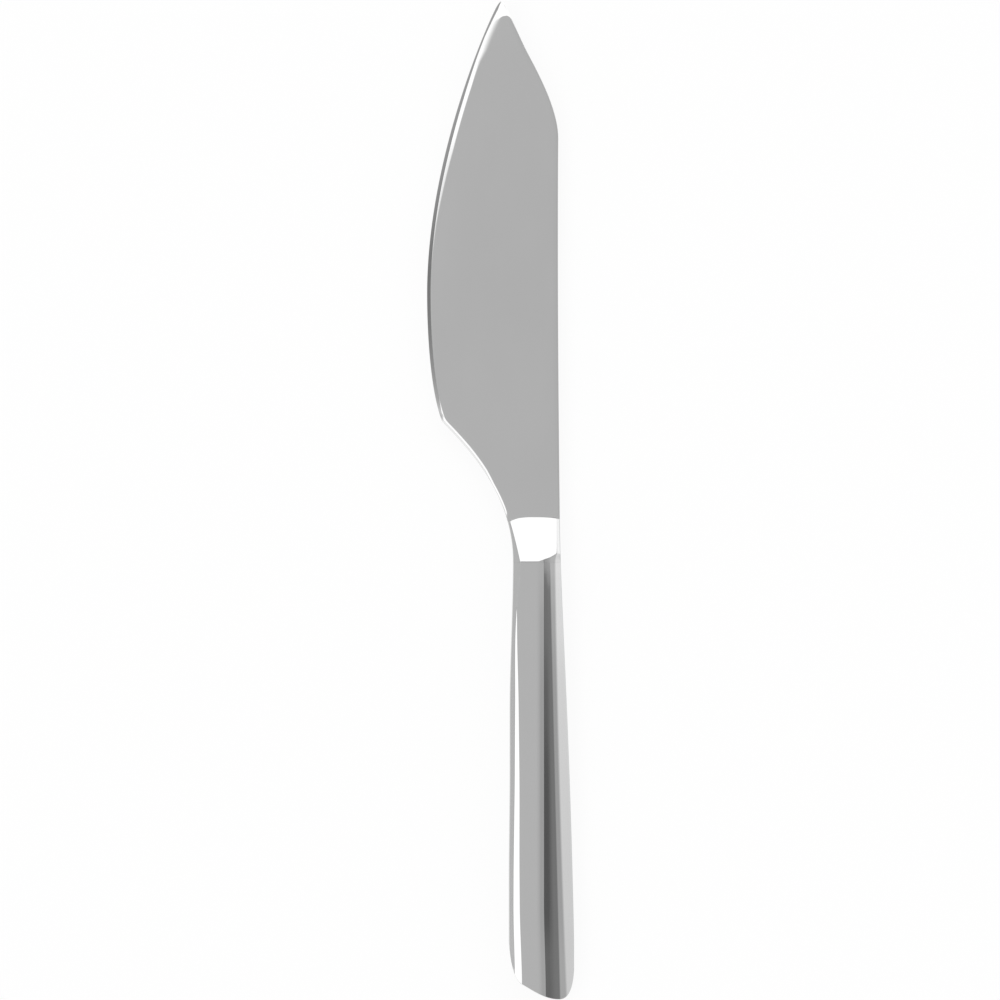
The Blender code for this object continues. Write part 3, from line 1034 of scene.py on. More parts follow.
    def butt_stations(self, shrink: float = 0.0) -> Array:
        """Stations where the columns meet the butt, found by going half of the way to its line many times.

        Args:
            shrink: further inset of all facets.

        Returns:
            Stations of shape (1, columns).
        """
        y = np.full((1, self.columns), -self.form.length)
        for _ in range(self.settling):
            y = 0.5 * (y + self.form.butt(self.points(y, shrink)[..., 0]))
        return y

    def sheet(self, start: float, rows: int, front_break: float, butt_break: float) -> Array:
        """Sheet from a station to the butt, with the edges at both ends broken.

        Row v of a column stands at start + v (end - start). The first and last rows lie deeper by the break.

        Args:
            start: station of the first row.
            rows: how many rows run between the breaks.
            front_break: depth of the break at the start.
            butt_break: depth of the break at the butt.

        Returns:
            Points of shape (rows + 2, columns, 3).
        """
        end = self.butt_stations()
        share = np.linspace(0.0, 1.0, rows)[:, None]
        y = (start - front_break) + share * (end + butt_break - start + front_break)
        first = self.points(np.full_like(end, start), front_break)
        last = self.points(self.butt_stations(butt_break), butt_break)
        return np.concatenate([first, self.points(y), last])


@dataclass(frozen=True)
class Grind:
    """Ground edge of the blade at every sample of its outline, in millimetres and degrees.

    Fields:
        bevel: width of the whole grind.
        strip: width of its outer strip.
        inner_deg: tilt of its inner strip.
        outer_deg: tilt of its outer strip.
    """

    bevel: Array
    strip: Array
    inner_deg: Array
    outer_deg: Array


@dataclass(frozen=True)
class Blade:
    """Ground blade with its tang, in millimetres.

    Across the blade every row of the surface runs from the cutting edge over a dark outer strip and a
    bright inner strip to the flat, and on to a narrow chamfer at the spine. Round the heel the strips go
    over to a narrow chamfer, and at the tip all rows come together.

    In the names of the fields, a pull is the length of a curve's leg at one of its ends, and deg is a
    heading or a tilt in degrees. The widths and tilts of the grind hold at distances along the edge from
    the tip, and round the heel at the heights of heel_rise.
    """

    form: HandleForm
    # outline
    length: float = 137.3
    width: float = 34.8
    tip: Point = (-15.13, 137.1)
    tip_edge_deg: Point = (62.0, 25.4)
    tip_edge_end: Point = (-17.13, 134.1)
    tip_edge_pulls: Point = (0.9, 1.2)
    edge_pull: float = 12.1
    widest_rise: float = 59.6
    widest_pulls: Point = (31.4, 11.4)
    heel_edge_pull: float = 8.3
    heel_edge_deg: float = 21.4
    tip_spine_deg: Point = (70.0, 25.1)
    tip_spine_end: Point = (-12.89, 133.4)
    tip_spine_pulls: Point = (0.55, 1.6)
    point_length: float = 9.2
    point_pull: float = 4.7
    spine_rise: float = 100.6
    spine_pull: float = 9.0
    spine_hollow: tuple[Point, Point] = ((-0.30, 62.0), (0.18, 22.0))
    # samples of the outline
    tip_samples: int = 200
    upper_samples: int = 1200
    lower_samples: int = 600
    pitch: float = 0.05
    edge_blur: int = 24
    spine_blur: int = 4
    # half heights, and the chamfer along the spine
    half: float = 0.8
    edge_half: float = 0.06
    spine_half: float = 0.74
    spine_chamfer: float = 0.05
    spine_crease: float = 0.012
    spine_thinning: Point = (0.95, 0.9)
    # top of the flat, and how the rows come together at the tip
    flat_top: float = 133.2
    flat_top_turns: tuple[Point, Point] = ((1.26, 0.63), (0.74, 0.30))
    flat_top_sharpness: float = 0.05
    flat_top_gap: float = 0.02
    flat_softness: Triple = (0.02, 0.10, 0.90)
    flat_soft_run: Point = (116.0, 126.0)
    flat_soft_top: float = 1.8
    tip_draw: Point = (1.6, 0.7)
    # grind along the edge
    bevel_along: Values = (0.0, 5.0, 10.0, 14.0, 17.0, 20.0, 24.0, 28.0, 42.0, 54.0, 62.0, 74.0)
    bevel_width: Values = (1.76, 1.74, 1.76, 1.84, 1.54, 1.60, 1.74, 1.76, 1.84, 1.5, 1.2, 0.98)
    strip_along: Values = (0.0, 0.6, 2.4, 5.0, 11.0, 17.0, 28.0, 42.0, 74.0)
    strip_width: Values = (0.0, 0.4, 0.70, 0.62, 0.46, 0.54, 0.77, 0.90, 0.96)
    inner_along: Values = (0.0, 14.0, 30.0, 42.0, 56.0)
    inner_deg: Values = (8.5, 9.0, 11.0, 6.6, 4.9)
    outer_deg: Point = (32.0, 41.0)
    # grind round the heel
    heel_blend: Point = (7.0, 1.0)
    heel_rise: Values = (0.0, 3.0, 9.0, 12.5, 18.0, 25.6)
    heel_bevel: Values = (0.55, 0.55, 0.50, 0.80, 0.90, 0.90)
    heel_strip: Values = (0.20, 0.18, 0.12, 0.35, 0.45, 0.45)
    heel_inner_deg: Values = (13.0, 14.0, 17.0, 20.0, 24.0, 25.0)
    heel_chamfer: float = 0.05
    heel_fade: Point = (1.4, 2.5)
    heel_round: float = 4.0
    heel_blur: int = 30
    # rows and columns of the surface
    heel_rows_span: Point = (-2.0, 3.0)
    point_rows_start: float = 118.0
    row_counts: tuple[int, int, int, int] = (70, 50, 170, 110)
    corner_reaches: tuple[float, float, float, float] = (0.05, 0.07, 0.03, 0.004)
    corner_shares: Values = (0.45, 0.12, 0.85, 0.45, 0.45, 0.45)
    corner_steps: int = 9
    flat_corner: int = 3
    flat_columns: int = 24
    # foot at the bolster
    arch_rise: float = 0.32
    arch_drops: Point = (1.8, 0.55)
    arch_power: float = 3.2
    arch_fade: float = 4.0
    arch_side_fade: float = 3.0
    # tang
    tang_length: float = 62.0
    tang_half: float = 0.6
    tang_widths: Point = (7.5, 5.5)
    tang_breaks: tuple[Point, ...] = ((0.0, 0.0), (0.0, 0.5), (0.05, 0.75), (0.1, 1.0))
    tang_reach: float = 0.03

    def tip_curve(self, degrees: Point, pulls: Point, end: Point) -> Array:
        """Rounded side of the tip: a cubic curve from its top to the start of the side below it."""
        controls = [self.tip, ahead(self.tip, pulls[0], degrees[0]), ahead(end, -pulls[1], degrees[1]), end]
        return cubic(controls, self.tip_samples)

    def edge_run(self) -> Run:
        """Outline from the tip down the cutting edge and round the heel to the end of the bolster.

        Returns:
            The run along three cubic curves and the handle's edge side.
        """
        start = self.tip_edge_end
        turn, lean = (-degrees for degrees in self.tip_edge_deg)
        widest = (-self.width, self.widest_rise)
        corner = self.form.heel_corner
        up, down = self.widest_pulls
        tip = self.tip_curve((turn, lean), self.tip_edge_pulls, start)
        sweep = [start, ahead(start, self.edge_pull, lean), (widest[0], widest[1] + up), widest]
        upper = cubic(sweep, self.upper_samples)
        arrive = ahead(corner, -self.heel_edge_pull, self.heel_edge_deg)
        lower = cubic([widest, (widest[0], widest[1] - down), arrive, corner], self.lower_samples)
        y = np.linspace(corner[1], -self.form.bolster_length, self.lower_samples)
        heel = np.column_stack([self.form.edge_side(y), y])
        return Run.through(np.vstack([tip, upper[1:], lower[1:], heel[1:]]), self.pitch, self.edge_blur)

    def spine_run(self) -> Run:
        """Outline from the tip down the sloping point and the slightly hollow spine to the shoulder.

        Returns:
            The run along three cubic curves and the straight stretch between the first two.
        """
        start = self.tip_spine_end
        lean = self.tip_spine_deg[1]
        tip = self.tip_curve(self.tip_spine_deg, self.tip_spine_pulls, start)
        bend_start = ahead(start, self.point_length, lean)
        bend_end = (0.0, self.spine_rise)
        before = ahead(bend_start, self.point_pull, lean)
        bend = cubic([bend_start, before, (0.0, self.spine_rise + self.spine_pull), bend_end])
        spine = cubic([bend_end, *self.spine_hollow, (self.form.spine_lean, 0.0)])
        return Run.through(np.vstack([tip, bend, spine[1:]]), self.pitch, self.spine_blur)

    def row_heights(self) -> Array:
        """Stations of the rows, closer round the heel's corner and, by a square, towards the flat's top.

        Returns:
            Stations from the shoulder up to the flat's top.
        """
        corner = self.form.heel_corner[1]
        turn_start, turn_end = (corner + step for step in self.heel_rows_span)
        at_foot, at_turn, at_middle, at_point = self.row_counts
        foot = np.linspace(0.0, turn_start, at_foot)
        turn = np.linspace(turn_start, turn_end, at_turn)
        middle = np.linspace(turn_end, self.point_rows_start, at_middle)
        drop = (self.flat_top - self.point_rows_start) * np.linspace(1.0, 0.0, at_point) ** 2
        drop = np.append(drop[drop > self.flat_top_gap], 0.0)
        return np.concatenate([foot, turn[1:], middle[1:], self.flat_top - drop[1:]])

    def arch(self, x: Array) -> Array:
        """Line of the bolster's mouth: rise - drop |s|^power, with s from -1 to 1 across the shoulder.

        Args:
            x: places across the blade.

        Returns:
            Station y of the line at each place.
        """
        left = self.form.edge_side(np.zeros(1))[0]
        right = self.form.spine_lean
        share = np.clip((x - (left + right) / 2) / ((right - left) / 2), -1.0, 1.0)
        drop = np.where(share < 0, self.arch_drops[0], self.arch_drops[1])
        return self.arch_rise - drop * np.abs(share) ** self.arch_power

    def heel_corner_along(self, edge: Run) -> float:
        """Distance along the edge at which it turns round the heel's corner."""
        return edge.along[np.argmin(np.hypot(*(edge.points - self.form.heel_corner).T))]

    def grind(self, edge: Run) -> Grind:
        """Widths and tilts of the grind: the edge's own, blended smoothly into the heel's round its corner.

        Args:
            edge: the outline down the edge.

        Returns:
            The grind at every sample of that outline.
        """
        corner = self.heel_corner_along(edge)
        heel = smooth(corner - self.heel_blend[0], corner + self.heel_blend[1], edge.along)
        rise = edge.points[:, 1]
        bevel, strip, inner_deg = (
            np.interp(edge.along, along, values) * (1 - heel) + np.interp(rise, self.heel_rise, ends) * heel
            for along, values, ends in (
                (self.bevel_along, self.bevel_width, self.heel_bevel),
                (self.strip_along, self.strip_width, self.heel_strip),
                (self.inner_along, self.inner_deg, self.heel_inner_deg),
            )
        )
        faded = smooth(*self.heel_fade, rise)
        strip = strip * faded + self.heel_chamfer * (1 - faded)
        outer_deg = self.outer_deg[0] + (self.outer_deg[1] - self.outer_deg[0]) * heel
        return Grind(bevel, strip, inner_deg * faded, outer_deg)

    def flat_edge(self, edge: Run, bevel: Array) -> Array:
        """Edge of the flat in plan: the outline moved in by the grind's width, and averaged round the heel.

        Args:
            edge: the outline down the edge.
            bevel: width of the grind at its samples.

        Returns:
            Points of shape (samples, 2).
        """
        moved = edge.points + edge.left * bevel[:, None]
        away = np.abs(edge.along - self.heel_corner_along(edge))
        near_corner = 1 - smooth(self.heel_round / 2, self.heel_round, away)
        return moved + (averaged(moved, self.heel_blur) - moved) * near_corner[:, None]

    def flat_sides(self, y: Array, flat_edge: Array, flat_spine: Array) -> tuple[Array, Array]:
        """Sides of the flat, which turn in by a exp(-d / b) at a distance d below its top and meet there.

        Args:
            y: stations.
            flat_edge: edge of the flat on the cutting edge's side.
            flat_spine: edge of the flat on the spine's side.

        Returns:
            Places x of both sides at each station.
        """
        drop = self.flat_top - y
        (edge_turn, edge_fade), (spine_turn, spine_fade) = self.flat_top_turns
        left = at_height(y, flat_edge, flat_edge[:, 0]) + edge_turn * np.exp(-drop / edge_fade)
        right = at_height(y, flat_spine, flat_spine[:, 0]) - spine_turn * np.exp(-drop / spine_fade)
        return left + (right - left)[-1] * np.exp(-drop / self.flat_top_sharpness), right

    def plate_corners(self) -> tuple[list[Array], list[Array]]:
        """Corners across the blade, row by row, and how far each is rounded off.

        A row joins the flat's two sides at one height to the points of the outline that lie beside them.
        Close to the flat's top those points draw on to the tip. A strip of the grind falls by its width
        times the tangent of its tilt.

        Returns:
            Eight corners of shape (rows, 3), and the reaches of the six inner ones.
        """
        edge, spine = self.edge_run(), self.spine_run()
        grind = self.grind(edge)
        flat_edge = self.flat_edge(edge, grind.bevel)
        flat_spine = spine.points - spine.left * self.spine_chamfer
        y = self.row_heights()
        left, right = self.flat_sides(y, flat_edge, flat_spine)
        flat_left, flat_right = np.column_stack([left, y]), np.column_stack([right, y])
        drop = self.flat_top - y
        edge_draw, spine_draw = (1 - smooth(0.0, length, drop) for length in self.tip_draw)
        edge_along = at_height(y, flat_edge, edge.along)
        edge_along = edge_along - edge_along[-1] * edge_draw
        spine_along = at_height(y, flat_spine, spine.along)
        spine_along = spine_along - spine_along[-1] * spine_draw
        outer, outer_spine = edge.at(edge_along), spine.at(spine_along)
        strip, inner_deg, outer_deg = (
            np.interp(edge_along, edge.along, values)
            for values in (grind.strip, grind.inner_deg, grind.outer_deg)
        )
        crease = outer + read_pairs(edge_along, edge.along, edge.left) * strip[:, None]
        outer_fall = strip * tangent(outer_deg)
        inner_fall = np.linalg.norm(flat_left - crease, axis=1) * tangent(inner_deg)
        crease_z = self.half - np.minimum(inner_fall, self.half - self.edge_half - outer_fall)
        edge_z = crease_z - outer_fall
        crease_thinning, round_thinning = self.spine_thinning
        chamfer = flat_right - outer_spine
        crease_width = self.spine_crease * (1 - crease_thinning * spine_draw)
        crease_share = crease_width / np.linalg.norm(chamfer, axis=1)
        crease_spine = outer_spine + chamfer * crease_share[:, None]
        spine_z = self.spine_half + (edge_z - self.spine_half) * spine_draw
        crease_spine_z = self.half - (self.half - spine_z) * (1 - crease_share)
        level = np.ones_like(y)
        corners = [
            (outer, 0.0 * level),
            (outer, edge_z),
            (crease, crease_z),
            (flat_left, self.half * level),
            (flat_right, self.half * level),
            (crease_spine, crease_spine_z),
            (outer_spine, spine_z),
            (outer_spine, 0.0 * level),
        ]
        least, low, gain = self.flat_softness
        soft = (low + gain * smooth(*self.flat_soft_run, y)) * smooth(0.0, self.flat_soft_top, drop) + least
        at_edge, at_crease, at_flat, at_spine = self.corner_reaches
        at_flat = at_flat * (1 - round_thinning * spine_draw)
        reaches = [at_edge * level, at_crease * level, soft, at_flat, at_spine * level, at_spine * level]
        return [np.column_stack(corner) for corner in corners], reaches

    def tang_corners(self) -> list[Array]:
        """The same eight corners for the tang: a flat bar with broken edges that narrows to its end.

        Returns:
            Eight corners of shape (2, 3), at the tang's end and at its root.
        """
        middle = (self.form.edge_side(np.zeros(1))[0] + self.form.spine_lean) / 2
        station = np.array([-self.tang_length, 0.0])
        half_width = np.array(self.tang_widths[::-1]) / 2
        edge_half = [(-1.0, inset, lift) for inset, lift in self.tang_breaks]
        spine_half = [(1.0, inset, lift) for inset, lift in self.tang_breaks[::-1]]
        corners = []
        for sign, inset, lift in edge_half + spine_half:
            across = middle + sign * (half_width - inset)
            corners.append(np.column_stack([across, station, np.full(2, lift * self.tang_half)]))
        return corners

    def sheet(self) -> Array:
        """Front sheet: tang, shoulder and plate.

        The plate's foot is bent to the line of the bolster's mouth, by a shift that fades with the
        height. Its points near the edge also move across, so that they stay on the outline. The last row
        runs from the tip to the flat's top and back on the same line, so it is folded shut.

        Returns:
            Points of shape (rows, columns, 3).
        """
        plate, plate_reaches = self.plate_corners()
        corners = [np.vstack([tang, part]) for tang, part in zip(self.tang_corners(), plate)]
        reaches = [np.concatenate([np.full(2, self.tang_reach), reach]) for reach in plate_reaches]
        spans = {self.flat_corner: self.flat_columns}
        sheet = rounded_line(corners, reaches, self.corner_shares, self.corner_steps, spans)
        x, y = sheet[1:, :, 0], sheet[1:, :, 1]
        bent = np.maximum(y, 0.0) + self.arch(x) * (1 - smooth(0.0, self.arch_fade, y))
        side = self.form.edge_side(y)
        near_edge = (1 - smooth(0.0, self.arch_side_fade, x - side)) * (bent != y)
        sheet[1:, :, 0] = x + (self.form.edge_side(bent) - side) * near_edge
        sheet[1:, :, 1] = bent
        half = sheet.shape[1] // 2
        sheet[-1, -half:] = sheet[-1, :half][::-1]
        return sheet

    def build(self, shop: Workshop, steel: bpy.types.Material) -> list[bpy.types.Object]:
        """Make the blade's piece.

        Args:
            shop: the workshop that makes it.
            steel: its finish.

        Returns:
            The new object, in a list.
        """
        front = self.sheet()
        body = body_between(front, mirrored(front), folded=True)
        return [shop.piece("ground_blade", body, steel, "blade")]


@dataclass(frozen=True)
class Bolster:
    """Neck piece, in millimetres: the ramp that takes the thin blade up to the thick handle.

    Its height over the plan is the soft least of the ramp and of the handle's facets, -log(sum of exp(-k
    z)) / k, so that every crease between them is slightly rounded. Over the shoulder the ramp has a
    slight crown, and beside the ridge it falls to the spine as a power of the distance. Both grow with
    the ramp's rise.

    Fields:
        form: the handle's outside.
        blade: the blade that it holds.
        joint: gap at the mouth.
        shell_gap: how far it runs on under the end of the shells.
        ramp_crown: height of the crown at the ramp's end.
        ramp_fall: fall beside the ridge at a distance of 1 mm, at the ramp's end.
        ramp_fall_power: power of that distance.
        crispness: k of the soft least; the creases are the crisper the greater it is.
        rows: rows of points from the mouth to the shells.
        columns: columns of points from side to side.
        wall_reach: reach of the rounding over each side wall, down and across.
        wall_steps: points of that rounding.
        wall_share: share of the columns at each side that the rounding takes the place of.
        lip_break: width of the broken edge at the mouth.
        settling: how many times the rows are fitted to the mouth's line.
    """

    form: HandleForm
    blade: Blade
    joint: float = 0.02
    shell_gap: float = 0.29
    ramp_crown: float = 0.125
    ramp_fall: float = 0.337
    ramp_fall_power: float = 1.2
    crispness: float = 70.0
    rows: int = 150
    columns: int = 170
    wall_reach: Point = (0.2, 0.14)
    wall_steps: int = 6
    wall_share: float = 0.02
    lip_break: float = 0.07
    settling: int = 6

    def heights(self, x: Array, y: Array) -> Array:
        """Height of the outside: the soft least of the ramp and the facets' planes.

        Args:
            x: places across the handle.
            y: their stations, of the same shape.

        Returns:
            Heights of the same shape.
        """
        form = self.form
        places, heights, tilts = form.corners(y, 0.0)
        ridge, facet = places[Corner.SLOPE], places[Corner.SPINE_FACET]
        mouth = self.blade.arch_rise
        rise = np.clip((mouth - y) / (form.bolster_length + mouth), 0.0, 1.0)
        ramp = form.half_mouth + (form.half_thickness - form.half_mouth) * rise
        crown = self.ramp_crown * np.clip((x - places[Corner.SHOULDER]) / form.shoulder_width, 0.0, 1.0)
        beside = self.ramp_fall * np.maximum(x - ridge, 0.0) ** self.ramp_fall_power
        at_facet = self.ramp_fall * (facet - ridge) ** self.ramp_fall_power
        facet_top = np.minimum(ramp + (self.ramp_crown - at_facet) * rise, heights[Corner.SPINE_FACET])
        steep = heights[Corner.STEEP] + (x - places[Corner.STEEP]) * tangent(form.steep_deg)
        planes = [steep, ramp + (crown - beside) * rise]
        for corner in range(Corner.SHOULDER, Corner.SPINE_FACET):
            planes.append(heights[corner] - (x - places[corner]) * tangent(tilts[corner + 1]))
        planes.append(facet_top - (x - facet) * tangent(tilts[Corner.SPINE_FACET + 1]))
        stack = np.stack(planes)
        least = stack.min(axis=0)
        return least - np.log(np.exp(-self.crispness * (stack - least)).sum(axis=0)) / self.crispness

    def sheet(self) -> Array:
        """Front sheet: both side walls and the outside between them, from the mouth to the shells.

        Row v stands at (1 - v) mouth + v end, column u at left + u (right - left). Each side wall goes
        over to the outside by a curve with the shares (1-t)^2 of its reach down and t^2 of its reach
        across.

        Returns:
            Points of shape (rows, columns of the walls and the outside, 3).
        """
        form = self.form
        share = np.linspace(0.0, 1.0, self.rows)[:, None]
        across = np.linspace(0.0, 1.0, self.columns)[None, :]
        end = -form.bolster_length - self.shell_gap
        y = share * end * np.ones_like(across)
        for _ in range(self.settling):
            left, right = form.edge_side(y), form.spine_side(y)
            x = left + (right - left) * across
            y = (1 - share) * (self.blade.arch(x) - self.joint) + share * end
        z = self.heights(x, y)
        z[0] -= self.lip_break
        y[1] = y[0] - self.lip_break
        t = np.linspace(0.0, 1.0, self.wall_steps)[None, :]
        down, over = self.wall_reach
        walls = []
        for column, inward in ((0, 1.0), (-1, -1.0)):
            edge_x, edge_y, edge_z = x[:, column, None], y[:, column, None], z[:, column, None]
            turn_x = edge_x + inward * over * t**2
            turn_z = edge_z - down * (1 - t) ** 2
            turn_z = turn_z + (self.heights(edge_x + inward * over, edge_y) - edge_z) * t**2
            foot = np.concatenate([edge_x, edge_y, 0.0 * edge_z], axis=1)[:, None]
            bend = np.stack([turn_x, edge_y + 0.0 * t, turn_z], axis=-1)
            walls.append(np.concatenate([foot, bend], axis=1))
        inside = (across[0] > self.wall_share) & (across[0] < 1 - self.wall_share)
        top = np.stack([x, y, z], axis=-1)[:, inside]
        return np.concatenate([walls[0], top, walls[1][:, ::-1]], axis=1)

    def build(self, shop: Workshop, steel: bpy.types.Material) -> list[bpy.types.Object]:
        """Make the bolster's piece.

        Args:
            shop: the workshop that makes it.
            steel: its finish.

        Returns:
            The new object, in a list.
        """
        front = self.sheet()
        body = body_between(front, mirrored(front))
        return [shop.piece("polished_bolster", body, steel, "bolster")]


@dataclass(frozen=True)
class Grip:
    """Hollow grip, in millimetres: two pressed shells, the braze between their rims and the butt's plug.

    Fields:
        form: the handle's outside.
        start: station of the shells' front end.
        wall: thickness of the shells.
        joint: gap between pieces that are joined.
        half_seam: half height of the braze.
        plug_length: length of the plug.
        rows: rows of points along the shells and the seams.
        rim_rows: rows across the shells' rim at the butt.
        plug_rows: rows along the plug.
        plug_hold: share of the height at which a row holds the plug's end face flat.
        joint_break: broken edge of the shells at the bolster.
        butt_break: broken edge of the shells and the plug at the butt.
        inner_chamfer: least width of the chamfer on the inside.
        inner_reaches: how far the corners of the inside are rounded.
        seam_depths: shares of the wall at which the seam's columns stand, from the outside.
        seam_round: share of the wall over which the seam is rounded off.
        seam_settling: how many times the seam's ends are moved on towards the butt's line.
    """

    form: HandleForm
    start: float = -11.7
    wall: float = 0.8
    joint: float = 0.02
    half_seam: float = 0.25
    plug_length: float = 15.0
    rows: int = 110
    rim_rows: int = 6
    plug_rows: int = 24
    plug_hold: float = 0.97
    joint_break: float = 0.008
    butt_break: float = 0.12
    inner_chamfer: float = 0.6
    inner_reaches: Values = (0.1,) * len(Corner)
    seam_depths: Values = (0.0, 0.04, 0.12, 0.3, 0.6, 1.0)
    seam_round: float = 0.12
    seam_settling: int = 12

    def shell(self, side: Side) -> Surface:
        """Pressed half of the grip: its outside, its rim along the butt, and its inside one wall deeper.

        Args:
            side: which half.

        Returns:
            Points and quads.
        """
        foot = self.half_seam + self.joint
        outside = Profile(self.form, 0.0, foot)
        inside = Profile(self.form, self.wall, foot, self.inner_chamfer, self.inner_reaches)
        outer = outside.sheet(self.start, self.rows, self.joint_break, self.butt_break)
        inner = inside.sheet(self.start, self.rows + self.rim_rows, 0.0, 0.0)
        share = np.linspace(0.0, 1.0, self.rim_rows + 2)[1:-1, None, None]
        rim = outer[-1] + (inner[-1] - outer[-1]) * share
        rim[..., 1] = self.form.butt(rim[..., 0])
        turn = np.array([1.0, 1.0, side.value])
        return body_between(np.concatenate([outer, rim]) * turn, inner * turn)

    def plug(self) -> Surface:
        """Solid end piece inside the shells, flush with them at the butt.

        Returns:
            Points and quads.
        """
        profile = Profile(self.form, self.wall + self.joint, 0.0, self.inner_chamfer, self.inner_reaches)
        start = -self.form.length + self.plug_length
        front = profile.sheet(start, self.plug_rows, self.butt_break, self.butt_break)
        face = front[-1:] * np.array([1.0, 1.0, self.plug_hold])
        front = np.concatenate([front, face])
        return body_between(front, mirrored(front))

    def seam_places(self, flank: Flank, y: Array) -> Array:
        """Places across the handle of the seam's columns on one side.

        Args:
            flank: which side.
            y: station of every point, with one column for each depth.

        Returns:
            Places x of the same shape.
        """
        depth = self.wall * np.array(self.seam_depths)[None, :]
        if flank is Flank.EDGE:
            return self.form.edge_side(y) + depth
        return self.form.spine_side(y) - depth

    def seam(self, flank: Flank) -> Surface:
        """Braze between the shells' rims on one side, as deep as their wall.

        Its half height is a quarter of an ellipse over the rounded share of the wall, and level behind it.

        Args:
            flank: which side.

        Returns:
            Points and quads.
        """
        share = np.minimum(np.array(self.seam_depths)[None, :] / self.seam_round, 1.0)
        lift = self.half_seam * np.sqrt(1 - (1 - share) ** 2)
        end = np.full_like(share, -self.form.length)
        for _ in range(self.seam_settling):
            end = 0.5 * (end + self.form.butt(self.seam_places(flank, end)))
        y = self.start + np.linspace(0.0, 1.0, self.rows)[:, None] * (end - self.start)
        front = np.stack([self.seam_places(flank, y), y, lift + 0.0 * y], axis=-1)
        return body_between(front, mirrored(front))

    def build(
        self, shop: Workshop, steel: bpy.types.Material, braze: bpy.types.Material
    ) -> list[bpy.types.Object]:
        """Make the grip's five pieces.

        Args:
            shop: the workshop that makes them.
            steel: finish of the shells and the plug.
            braze: finish of the seams.

        Returns:
            The new objects.
        """
        return [
            shop.piece("front_half_shell", self.shell(Side.FRONT), steel, "handle_front_shell"),
            shop.piece("back_half_shell", self.shell(Side.BACK), steel, "handle_back_shell"),
            shop.piece("butt_end_plug", self.plug(), steel, "butt_plug"),
            shop.piece("edge_braze_line", self.seam(Flank.EDGE), braze, "edge_side_seam"),
            shop.piece("spine_braze_line", self.seam(Flank.SPINE), braze, "spine_side_seam"),
        ]


